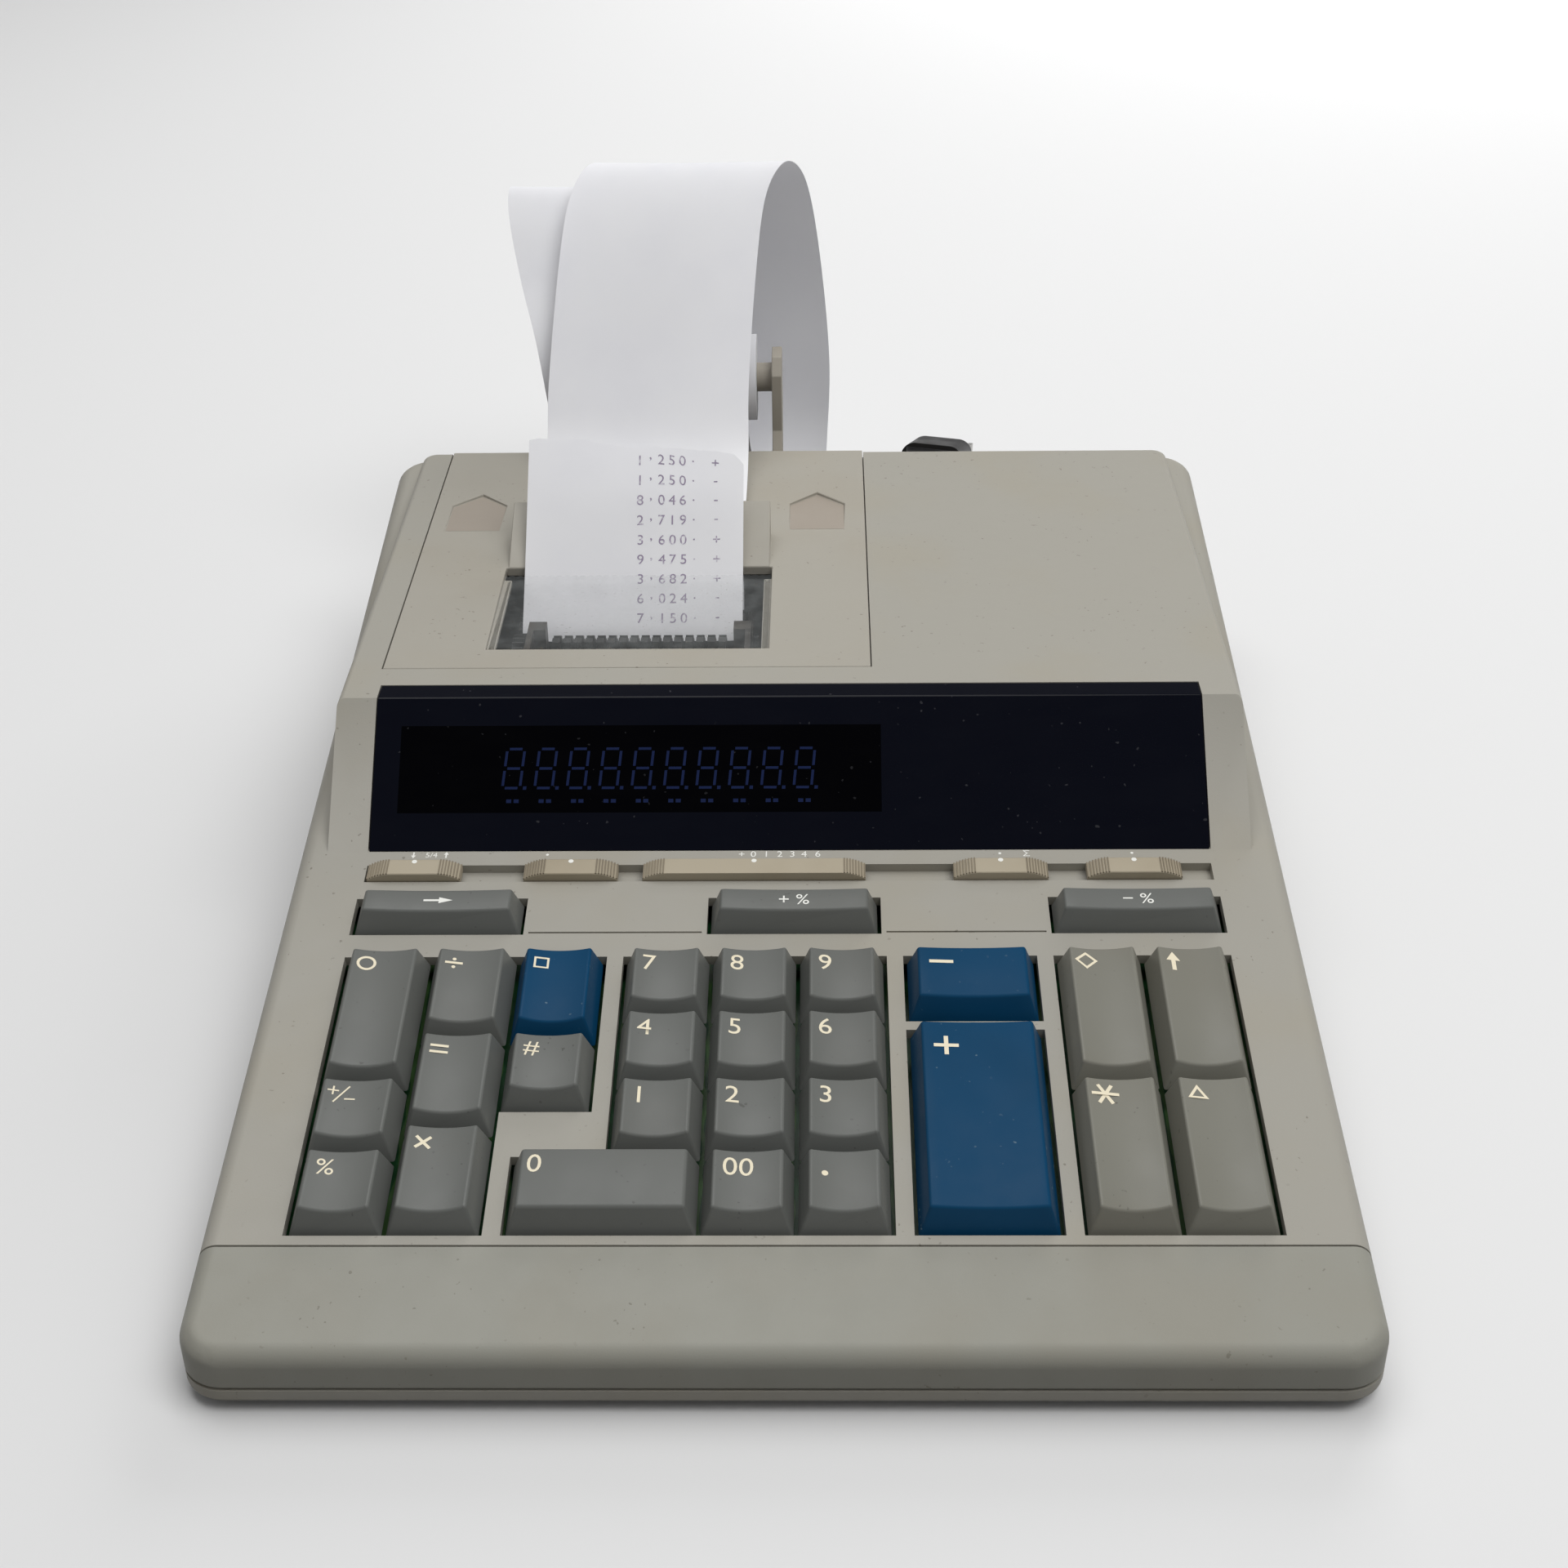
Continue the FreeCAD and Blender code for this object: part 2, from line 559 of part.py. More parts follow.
# The recess and ledges that carry the printer cover
COVER_SEAT = "(housing_top - cover_thick)"
cover_room = span(
    ("cover_left - cover_gap", "cover_right + cover_gap"),
    ("cover_front - cover_gap", "case_back + wall"),
    (COVER_SEAT, "housing_top + wall"),
)
ledge_levels = (COVER_SEAT + " - ledge_thick", COVER_SEAT)
ledges = [
    span(
        ("cover_left - 2 * wall", "cover_left + cover_ledge"), ("cover_front", "case_back - wall / 2"),
        ledge_levels,
    ),
    span(
        ("cover_right - cover_ledge", "cover_right + 2 * wall"), ("cover_front", "case_back - wall / 2"),
        ledge_levels,
    ),
    span(
        ("cover_left", "cover_right"), ("cover_front - 2 * wall", "cover_front + cover_ledge"), ledge_levels,
    ),
]
relief_hole = rod(ALONG_Y, "relief_tip + screw_room", "3 * wall", "cord_x", "case_back - 2 * wall", "cord_z")

shell = carve(join(wedge, housing), wedge_room, housing_room, lens_room, cover_room)

# A floor under the selector slot lets only the tongues of the knobs through
floor_slots = [
    span(reach, (TONGUE_FRONT, TONGUE_REAR), ("trough_floor - 2 * trough_thick", "0"))
    for reach in tongue_reaches.values()
]
trough = carve(
    span(
        ("-recess_width / 2 - wall", "recess_width / 2 + wall"),
        ("recess_front - wall", "recess_front + recess_depth + wall"),
        ("trough_floor - trough_thick", "trough_floor"),
    ),
    *floor_slots,
)
open_case = carve(join(shell, *bosses, *ledges), on_deck(join(*openings)), *boss_holes, relief_hole)
piece("upper_case", join(open_case, on_deck(trough)))

# The palm rest closes the front of the case and rounds down to the front face
PALM_BACK = "(-palm_seam - palm_gap)"
palm = prism("YZ_Plane", [
    ("-palm_front", "seam_height"),
    (PALM_BACK, "seam_height"),
    (PALM_BACK, deck(PALM_BACK)),
    ("-palm_front", deck("-palm_front")),
], "case_width")
round_edges(
    palm, "corner_radius",
    lambda edge: is_upright(edge) and edge.Vertexes[0].Point.y < size(PALM_BACK) - 0.01,
)
round_edges(palm, "shoulder_radius", is_long_top)
palm_room = prism("YZ_Plane", [
    ("wall - palm_front", "seam_height - wall"),
    (PALM_BACK + " - wall", "seam_height - wall"),
    (PALM_BACK + " - wall", deck(PALM_BACK + " - wall") + " - " + DECK_WALL),
    ("wall - palm_front", deck("wall - palm_front") + " - " + DECK_WALL + " - palm_gap"),
], "case_width - 2 * wall")
round_edges(palm_room, "corner_radius - wall",
            lambda edge: is_upright(edge) and edge.Vertexes[0].Point.y < size(PALM_BACK + " - 2 * wall"))
piece("palm_rest", carve(palm, palm_room))


def tray(inset):
    """Outline of the case on the desk, drawn in by an inset."""
    side = "(%s - (%s))" % (HALF_CASE, inset)
    front = "((%s) - palm_front)" % inset
    back = "(case_back - (%s))" % inset
    return [("-" + side, front), (side, front), (side, back), ("-" + side, back)]


# The lower case is a shallow tray with posts for the board and wells for the screws
FLOOR_TOP = "(case_bottom + wall)"
pan = prism("XY_Plane", tray("0"), "seam_height - case_bottom", symmetric=False)
round_edges(pan, "corner_radius", is_upright)
round_edges(pan, "pan_edge", lambda edge: max(vertex.Point.z for vertex in edge.Vertexes) < 0.01)
put(pan, z="case_bottom")
pan_room = prism("XY_Plane", tray("wall"), "seam_height", symmetric=False)
round_edges(pan_room, "corner_radius - wall", is_upright)
put(pan_room, z=FLOOR_TOP)
reveal_keep = prism("XY_Plane", tray("reveal"), "reveal", symmetric=False)
round_edges(reveal_keep, "corner_radius - reveal", is_upright)
reveal_ring = carve(prism("XY_Plane", tray("-wall"), "reveal", symmetric=False), reveal_keep)
put(reveal_ring, z="seam_height - reveal")
wells = [
    rod(ALONG_Z, "screw_head + boss_wall", "seam_height - case_bottom", x, along, "case_bottom")
    for x, along in SCREWS
]
well_holes = [
    rod(ALONG_Z, "screw_radius + screw_room", "seam_height", x, along, "case_bottom - 1")
    for x, along in SCREWS
] + [
    rod(ALONG_Z, "screw_head + screw_room", "head_depth + 1", x, along, "case_bottom - 1")
    for x, along in SCREWS
]
BOARD_FOOT = "(board_top - board_thick)"
posts = [
    rod(ALONG_Z, "post_radius", "deck_height + " + along, x, along, FLOOR_TOP)
    for x in ("post_spread", "-post_spread")
    for along in ("post_front", "post_rear")
]
over_board = on_deck(
    bunch([span(("-case_width", "case_width"), ("-case_back", "case_back"), (BOARD_FOOT, "case_back"))])
)
lower_relief = rod(
    ALONG_Y, "relief_radius + screw_room", "5 * wall", "cord_x", "case_back - 3 * wall", "cord_z",
)
tray_shell = carve(pan, pan_room, reveal_ring)
lower_case = carve(join(tray_shell, *wells, carve(bunch(posts), over_board)), *well_holes, lower_relief)
piece("lower_case", lower_case)

screws = [
    join(
        rod(ALONG_Z, "screw_head", "head_depth - screw_room", x, along, "case_bottom + screw_room"),
        rod(
            ALONG_Z, "screw_radius", "seam_height + screw_grip - case_bottom - 1", x, along,
            "case_bottom + screw_room",
        ),
    )
    for x, along in SCREWS
]
piece("case_screws", bunch(screws))
feet = [
    rod(ALONG_Z, "foot_radius", "case_bottom", side + "(%s - foot_inset)" % HALF_CASE, along, "0")
    for side in ("", "-")
    for along in ("foot_front", "foot_rear")
]
piece("rubber_feet", bunch(feet))

# The lens lies on the slope with a level lip on top; the display tube sits behind it
lens = prism("YZ_Plane", [
    ("lens_foot", deck("lens_foot")),
    ("lens_foot + lens_run", "housing_top"),
    ("lens_foot + lens_run + lens_lip", "housing_top"),
    ("lens_foot + lens_run + lens_lip", "housing_top - lens_thick"),
    behind_slope("housing_top - lens_thick", "lens_thick"),
    behind_slope(deck("lens_foot"), "lens_thick"),
], "lens_width")
piece("display_lens", lens)
TUBE_FRONT = "lens_thick + lens_gap"
tube = prism("YZ_Plane", [
    slope_point("tube_foot", TUBE_FRONT),
    slope_point("tube_foot + tube_height", TUBE_FRONT),
    slope_point("tube_foot + tube_height", TUBE_FRONT + " + tube_thick"),
    slope_point("tube_foot", TUBE_FRONT + " + tube_thick"),
], "tube_width")
put(tube, x="tube_centre")
tube_card = prism("YZ_Plane", [
    slope_point("tube_foot - card_margin", TUBE_FRONT + " + tube_thick"),
    slope_point("tube_foot + tube_height + card_margin", TUBE_FRONT + " + tube_thick"),
    slope_point("tube_foot + tube_height + card_margin", TUBE_FRONT + " + tube_thick + board_thick"),
    slope_point("tube_foot - card_margin", TUBE_FRONT + " + tube_thick + board_thick"),
], "tube_width + 6 * card_margin")
put(tube_card, x="tube_centre")
piece("display_tube", join(tube, tube_card))

# The printer cover: a plate with the paper window's opening and a hood over the paper inlet
plate = span(("cover_left", "cover_right"), ("cover_front", "case_back"), (COVER_SEAT, "housing_top"))
paper_hole = span(
    ("window_left", "window_right"), ("window_front", "hood_back"), (COVER_SEAT + " - 1", "housing_top + 1"),
)

HOOD_SLOPE = "(hood_rise / (hood_back - hood_front))"
HOOD_WIDTH = "(window_right - window_left - 2 * hood_taper)"


def under_hood(y):
    """Height of the hood's inner face at a place along the machine."""
    return "housing_top + (%s - hood_front) * %s - hood_wall * sqrt(1 + %s ^ 2)" % (y, HOOD_SLOPE, HOOD_SLOPE)


hood = prism("YZ_Plane", [
    ("hood_front", COVER_SEAT),
    ("hood_back", COVER_SEAT),
    ("hood_back", "housing_top + hood_rise"),
    ("hood_front", "housing_top"),
], HOOD_WIDTH)
hood_room = prism("YZ_Plane", [
    ("hood_front + hood_wall", COVER_SEAT + " - wall"),
    ("hood_back + wall", COVER_SEAT + " - wall"),
    ("hood_back + wall", under_hood("(hood_back + wall)")),
    ("hood_front + hood_wall", under_hood("(hood_front + hood_wall)")),
], HOOD_WIDTH + " - 2 * hood_wall")
hood_shell = carve(hood, hood_room)
put(hood_shell, x="(window_left + window_right) / 2")
hood_cheeks = [
    span(
        ("window_left", "window_left + hood_taper"), ("hood_front", "hood_back"), (COVER_SEAT, "housing_top"),
    ),
    span(
        ("window_right - hood_taper", "window_right"), ("hood_front", "hood_back"),
        (COVER_SEAT, "housing_top"),
    ),
]
window_seats = [
    span(
        ("window_left", "window_left + window_seat"), ("window_front", "tear_edge"),
        (COVER_SEAT, "window_low"),
    ),
    span(
        ("window_right - window_seat", "window_right"), ("window_front", "tear_edge"),
        (COVER_SEAT, "window_low"),
    ),
]


def finger_pad(x):
    """Tool for a pointed finger pad that slopes down to the rear of the cover."""
    tool = prism("XY_Plane", [
        ("-pad_width / 2", "0"),
        ("pad_width / 2", "0"),
        ("pad_width / 2", "pad_side"),
        ("0", "pad_length"),
        ("-pad_width / 2", "pad_side"),
    ], "2 * wall", symmetric=False)
    tool.Placement = FreeCAD.Placement(FreeCAD.Vector(), FreeCAD.Rotation(ALONG_X * -1, 1))
    bind(tool, Placement__Rotation__Angle="pad_slope")
    return put(tool, x, "pad_front", "housing_top")


pads = [finger_pad("window_left - pad_inset"), finger_pad("window_right + pad_inset")]
cover = join(carve(plate, paper_hole, *pads), hood_shell, *hood_cheeks, *window_seats)
piece("printer_cover", cover)

# The clear window rests on two seats in the cover; its saw-toothed rear edge tears the tape
window = span(
    ("window_left + window_room", "window_right - window_room"),
    ("window_front + window_room", "tear_edge"),
    ("window_low", "window_low + window_thick"),
)
notches = []
for index in range(int(size("tear_count"))):
    notch = box("0", "0", "-window_thick", "tear_notch", "tear_notch", "4 * window_thick")
    notch.Placement = FreeCAD.Placement(FreeCAD.Vector(), FreeCAD.Rotation(ALONG_Z, 45))
    step = "(window_right - window_left - 2 * window_room) / %d" % int(size("tear_count"))
    put(
        notch, "window_left + window_room + (%s) * %.9g" % (step, index + 0.5), "tear_edge - tear_notch / 2",
        "window_low - 1",
    )
    notches.append(notch)
piece("tear_window", carve(window, *notches))


def frustum(middle_x, middle_v, half_width, half_depth, low, high, side, nose, rear):
    """Tapered block on the deck: its faces lean in by side, nose (front) and rear."""
    item = doc.addObject("Part::Wedge", "Frustum")
    bind(
        item,
        Xmin="-" + half_width,
        Xmax=half_width,
        X2min="%s - %s" % (side, half_width),
        X2max="%s - %s" % (half_width, side),
        Ymin=low,
        Ymax=high,
        Zmin="-" + half_depth,
        Zmax=half_depth,
        Z2min="%s - %s" % (rear, half_depth),
        Z2max="%s - %s" % (half_depth, nose),
    )
    item.Placement = FreeCAD.Placement(FreeCAD.Vector(), FreeCAD.Rotation(ALONG_X, 90))
    return put(item, middle_x, middle_v, "0")


def keycap(middle_x, middle_v, width, depth, dish):
    """Hollow keycap with a square stem and, if a dish is given, a top hollowed that deep."""
    half_width = "(%s / 2 - cap_margin)" % width
    half_depth = "(%s / 2 - cap_margin)" % depth
    cap = frustum(
        middle_x, middle_v, half_width, half_depth, "cap_base", "cap_top", "cap_side", "cap_nose", "cap_rear",
    )
    hollow = frustum(
        middle_x, middle_v, "(%s - cap_wall)" % half_width, "(%s - cap_wall)" % half_depth,
        "cap_base - cap_wall", "cap_top - cap_roof", "cap_side", "cap_nose", "cap_rear",
    )
    tools = [hollow]
    if dish:
        chord = "(%s - cap_side)" % half_width
        radius = "((%s ^ 2 + %s ^ 2) / (2 * %s))" % (chord, dish, dish)
        height = "cap_top - %s + %s" % (dish, radius)
        tools.append(rod(ALONG_Y, radius, depth, middle_x, "%s - %s / 2" % (middle_v, depth), height))
    stem = box(
        "%s - stem_width / 2" % middle_x, "%s - stem_width / 2" % middle_v, "stem_foot",
        "stem_width", "stem_width", "cap_top - cap_roof - stem_foot",
    )
    return join(carve(cap, *tools), stem)


# Keycaps, each on its own switch; the broad ones are hollowed less, and the nought key is flat
DISHES = {"key_0": None, "key_plus": "dish_shallow", "key_minus": "dish_shallow"}
DISHES.update({name: "dish_shallow" for name, middle in WIDE_KEYS})
for name, place in cells.items():
    piece(name, keycap(*place, DISHES.get(name, "dish_depth")), tilted=True)


def key_switch(middle_x, middle_v, width, depth):
    """Switch housing on the board with the hole that guides a keycap's stem."""
    switch_reach = "min(switch_depth; %s - 2 * cap_wall - 2 * cap_margin - 2 * switch_room)" % depth
    body = box(
        "%s - switch_width / 2" % middle_x, "%s - %s / 2" % (middle_v, switch_reach), "board_top",
        "switch_width", switch_reach, "switch_top - board_top",
    )
    hole = box(
        "%s - stem_width / 2 - stem_room" % middle_x, "%s - stem_width / 2 - stem_room" % middle_v,
        "board_top - 1",
        "stem_width + 2 * stem_room", "stem_width + 2 * stem_room", "switch_top - board_top + 2",
    )
    return carve(body, hole)


piece("key_switches", bunch([key_switch(*place) for place in cells.values()]), tilted=True)

# Each selector has a ribbed knob in the slot and a tongue that reaches its slide switch on the board
def knob_outline(length):
    """Outline of a knob: a flat middle whose ends curve down."""
    steps = (1, 0.67, 0.33, 0)
    fall = ["knob_top - knob_drop * %.4g" % (step * step) for step in steps]
    reach = ["(%s / 2 - knob_ramp * %.4g)" % (length, 1 - step) for step in steps]
    right = list(zip(reach, fall))
    left = [("-" + across, up) for across, up in reversed(right)]
    foot = "(%s / 2)" % length
    return [("-" + foot, "knob_foot"), (foot, "knob_foot")] + right + left


slide_bodies = []
slide_slots = []
for name, length, middle, to_left, to_right in SELECTORS:
    knob = put(prism("XZ_Plane", knob_outline(length), "knob_depth"), middle, SLOT_MIDDLE)
    tongue = box(
        "%s - knob_stem / 2" % middle, SLOT_MIDDLE + " - knob_stem / 2", "stem_foot",
        "knob_stem", "knob_stem", "knob_foot - stem_foot",
    )
    piece(name, join(knob, tongue), tilted=True)
    first, last = tongue_reaches[name]
    slide_bodies.append(span(
        (first + " - slider_end", last + " + slider_end"),
        (SLOT_MIDDLE + " - knob_depth / 2", SLOT_MIDDLE + " + knob_depth / 2"),
        ("board_top", "slider_top"),
    ))
    slide_slots.append(span((first, last), (TONGUE_FRONT, TONGUE_REAR), ("stem_foot - 1", "slider_top + 1")))

# The keyboard board, with the slide switches on top and the chips underneath
board = span(
    ("board_inset - " + HALF_CASE, HALF_CASE + " - board_inset"),
    ("board_front", "board_rear"),
    (BOARD_FOOT, "board_top"),
)
chips = [
    box(
        "%s - chip_width / 2" % middle, "chip_front", BOARD_FOOT + " - chip_thick", "chip_width",
        "chip_depth", "chip_thick",
    )
    for middle in ("-pitch * 3", "pitch / 2", "pitch * 3")
]
piece("keyboard_board", carve(join(board, *slide_bodies, *chips), *slide_slots), tilted=True)


def loop_solid(points, thick):
    """Flat part from a closed ring of corners in the Y-Z plane, thick along X."""
    ring = Part.makePolygon(points + points[:1])
    return Part.Face(ring).extrude(FreeCAD.Vector(thick, 0, 0))


def toothed(teeth, root, tip, share_low, share_high, turn, x, y, z, thick):
    """Toothed disc across X: straight-sided teeth that take a share of the pitch at root and tip."""
    corners = []
    step = 2 * math.pi / teeth
    for index in range(teeth):
        middle = math.radians(turn) + index * step
        for radius, share in ((root, -share_low), (tip, -share_high), (tip, share_high), (root, share_low)):
            angle = middle + share * step / 2
            corners.append(FreeCAD.Vector(0, radius * math.cos(angle), radius * math.sin(angle)))
    item = doc.addObject("Part::Feature", "Toothed")
    item.Shape = loop_solid(corners, size(thick))
    item.Placement = FreeCAD.Placement(FreeCAD.Vector(size(x), size(y), size(z)), FreeCAD.Rotation())
    return item


def gear(teeth, turn, y, z):
    """Spur gear with backlash, in the gear gap beside the left printer plate."""
    pitch_radius = size("gear_module") * teeth / 2
    root = pitch_radius - 1.25 * size("gear_module")
    tip = pitch_radius + 0.8 * size("gear_module")
    return toothed(teeth, root, tip, 0.60, 0.20, turn, GEAR_LEFT, y, z, "gear_wide")


GEAR_LEFT = "(frame_left - gear_room - gear_wide)"
MOTOR_FACE = "(%s - gear_room)" % GEAR_LEFT
PLATEN_REACH = "(gear_module * (wheel_teeth + platen_teeth) / 2)"
PLATEN_Y = "(wheel_y + %s)" % PLATEN_REACH
PLATEN_RADIUS = "(%s - wheel_tip - roller_gap)" % PLATEN_REACH
INK_Y = "(wheel_y - wheel_tip - roller_gap - ink_radius)"
PINION_Z = "(wheel_z - gear_module * (wheel_teeth + pinion_teeth) / 2)"
INNER_LEFT = "(frame_left + plate_thick)"
INNER_RIGHT = "(frame_right - plate_thick)"
SHAFT_END = "(frame_right + plate_thick)"


def shaft(start, y, z):
    """Shaft from a start to just past the right printer plate."""
    return rod(ALONG_X, "shaft_radius", "%s - %s" % (SHAFT_END, start), start, y, z)


def roller(radius, y):
    """Roller between the printer plates."""
    return rod(
        ALONG_X, radius, "%s - %s - 2 * gear_room" % (INNER_RIGHT, INNER_LEFT), INNER_LEFT + " + gear_room",
        y, "wheel_z",
    )


# Type wheels on one shaft, driven by the gear outside the left plate
wheel_teeth, platen_teeth, pinion_teeth = (
    int(size(alias)) for alias in ("wheel_teeth", "platen_teeth", "pinion_teeth")
)
wheels = [shaft(GEAR_LEFT, "wheel_y", "wheel_z"), gear(wheel_teeth, 0, "wheel_y", "wheel_z")]
for index in range(int(size("wheel_count"))):
    offset = "wheel_middle + wheel_pitch * (%d - (wheel_count - 1) / 2) - wheel_wide / 2" % index
    wheels.append(toothed(
        int(size("type_count")), size("wheel_rim"), size("wheel_tip"), 0.7, 0.5, 0,
        offset, "wheel_y", "wheel_z", "wheel_wide",
    ))
piece("print_wheels", join(*wheels))

half_platen = 180 / platen_teeth
piece("platen_roller", join(
    shaft(GEAR_LEFT, PLATEN_Y, "wheel_z"), roller(PLATEN_RADIUS, PLATEN_Y),
    gear(platen_teeth, half_platen, PLATEN_Y, "wheel_z"),
))
piece("ink_roller", join(shaft("frame_left - gear_room", INK_Y, "wheel_z"), roller("ink_radius", INK_Y)))
half_pinion = 180 / pinion_teeth
pinion_shaft = rod(
    ALONG_X, "shaft_radius", "plate_thick + motor_nose + gear_room + gear_wide",
    MOTOR_FACE + " - plate_thick - motor_nose", "wheel_y", PINION_Z,
)
piece("motor_pinion", join(pinion_shaft, gear(pinion_teeth, half_pinion, "wheel_y", PINION_Z)))
motor = carve(
    join(
        rod(
            ALONG_X, "motor_radius", "motor_length", MOTOR_FACE + " - plate_thick - motor_length", "wheel_y",
            PINION_Z,
        ),
        rod(ALONG_X, "motor_radius / 3", "motor_length + motor_nose / 2",
            MOTOR_FACE + " - plate_thick - motor_length - motor_nose / 2", "wheel_y", PINION_Z),
    ),
    rod(ALONG_X, "shaft_radius + shaft_room", "motor_nose + 2 * shaft_room",
        MOTOR_FACE + " - plate_thick - motor_nose - shaft_room", "wheel_y", PINION_Z),
)
piece("printer_motor", motor)


def printer_plate(x):
    """Side plate of the printer: tall at the type wheels, low under the paper."""
    plate = prism("YZ_Plane", [
        ("frame_front", FLOOR_TOP),
        ("frame_back", FLOOR_TOP),
        ("frame_back", "frame_shelf"),
        ("guide_back", "frame_shelf"),
        ("guide_back", "frame_top"),
        ("frame_front", "frame_top"),
    ], "plate_thick")
    return put(plate, x=x)


motor_plate = span(
    (MOTOR_FACE + " - plate_thick", MOTOR_FACE),
    ("wheel_y - motor_radius", "wheel_y + motor_radius"),
    (FLOOR_TOP, PINION_Z + " + motor_radius"),
)
base_plate = span(
    (MOTOR_FACE + " - plate_thick", "frame_right"),
    ("frame_front", "frame_back"),
    (FLOOR_TOP, FLOOR_TOP + " + plate_thick"),
)
bearings = [
    rod(
        ALONG_X, "shaft_radius + shaft_room", "frame_right - frame_left + 4 * plate_thick",
        "frame_left - plate_thick", y, "wheel_z",
    )
    for y in ("wheel_y", PLATEN_Y, INK_Y)
]
motor_hole = rod(
    ALONG_X, "shaft_radius + shaft_room", "4 * plate_thick", MOTOR_FACE + " - 2 * plate_thick", "wheel_y",
    PINION_Z,
)
POST_SPAN = ("guide_back - post_width", "guide_back")
paper_posts = [
    span(("frame_left", "frame_left + post_width"), POST_SPAN, ("frame_shelf", "frame_top")),
    span(("frame_right - post_width", "frame_right"), POST_SPAN, ("frame_shelf", "frame_top")),
]
side_plates = [printer_plate("frame_left + plate_thick / 2"), printer_plate("frame_right - plate_thick / 2")]
printer_frame = carve(join(base_plate, motor_plate, *side_plates, *paper_posts), *bearings, motor_hole)
piece("printer_frame", printer_frame)

# The mains transformer stands on the floor under the right of the housing
core = box("core_left", "core_front", FLOOR_TOP, "core_width", "core_depth", "core_height")
winding = box(
    "core_left + core_leg", "core_front - coil_bulge", FLOOR_TOP + " + core_leg",
    "core_width - 2 * core_leg", "core_depth + 2 * coil_bulge", "core_height - 2 * core_leg",
)
ears = box(
    "core_left - core_leg", "core_front", FLOOR_TOP, "core_width + 2 * core_leg", "core_depth", "plate_thick",
)
piece("transformer", join(core, winding, ears))


def arm(x):
    """Paper arm: rises behind the rear wall to the spindle that carries the roll."""
    blade = prism("YZ_Plane", [
        ("case_back", "arm_low"),
        ("roll_y - arm_half / 2", "arm_low"),
        ("roll_y + arm_half", "roll_z - arm_half"),
        ("roll_y + arm_half", "roll_z + arm_tip - arm_half / 2"),
        ("roll_y + arm_half / 2", "roll_z + arm_tip"),
        ("roll_y - arm_half / 2", "roll_z + arm_tip"),
        ("roll_y - arm_half", "roll_z + arm_tip - arm_half / 2"),
        ("roll_y - arm_half", "arm_high + arm_half"),
        ("roll_y - 2 * arm_half", "arm_high"),
        ("case_back", "arm_high"),
    ], "arm_thick")
    return put(blade, x=x)


arm_foot = span(
    ("arm_right - foot_width", "arm_right"), ("case_back", "case_back + wall"), ("arm_low", "arm_high"),
)
roll_start = "(paper_middle - paper_width / 2)"
SPINDLE_LEFT = "(%s - 2 * flange_thick)" % roll_start
spindle = rod(
    ALONG_X, "boss_radius", "arm_right - arm_thick - " + SPINDLE_LEFT, SPINDLE_LEFT, "roll_y", "roll_z",
)
piece("paper_arm", join(arm_foot, arm("arm_right - arm_thick / 2"), spindle))

roll = carve(
    join(
        rod(ALONG_X, "roll_radius", "paper_width", roll_start, "roll_y", "roll_z"),
        rod(
            ALONG_X, "flange_radius", "paper_width + 2 * flange_thick", roll_start + " - flange_thick",
            "roll_y", "roll_z",
        ),
    ),
    rod(
        ALONG_X, "boss_radius + shaft_room", "2 * paper_width", "paper_middle - paper_width", "roll_y",
        "roll_z",
    ),
)
piece("paper_roll", roll)


def strip(route, count):
    """Paper strip along a smooth route of (y, z, middle x) points, paper_thick through."""
    curve = Part.BSplineCurve()
    curve.interpolate([FreeCAD.Vector(x, y, z) for y, z, x in route])
    stations = curve.discretize(Number=count)
    half = size("paper_width") / 2
    thick = size("paper_thick") / 2
    rings = []
    for index, point in enumerate(stations):
        before = stations[max(index - 1, 0)]
        after = stations[min(index + 1, count - 1)]
        along = FreeCAD.Vector(0, after.y - before.y, after.z - before.z).normalize()
        lift = FreeCAD.Vector(0, -along.z, along.y) * thick
        side = FreeCAD.Vector(half, 0, 0)
        ring = [point - side - lift, point + side - lift, point + side + lift, point - side + lift]
        rings.append(Part.makePolygon(ring + ring[:1]))
    item = doc.addObject("Part::Feature", "Strip")
    item.Shape = Part.makeLoft(rings, True, True)
    return item


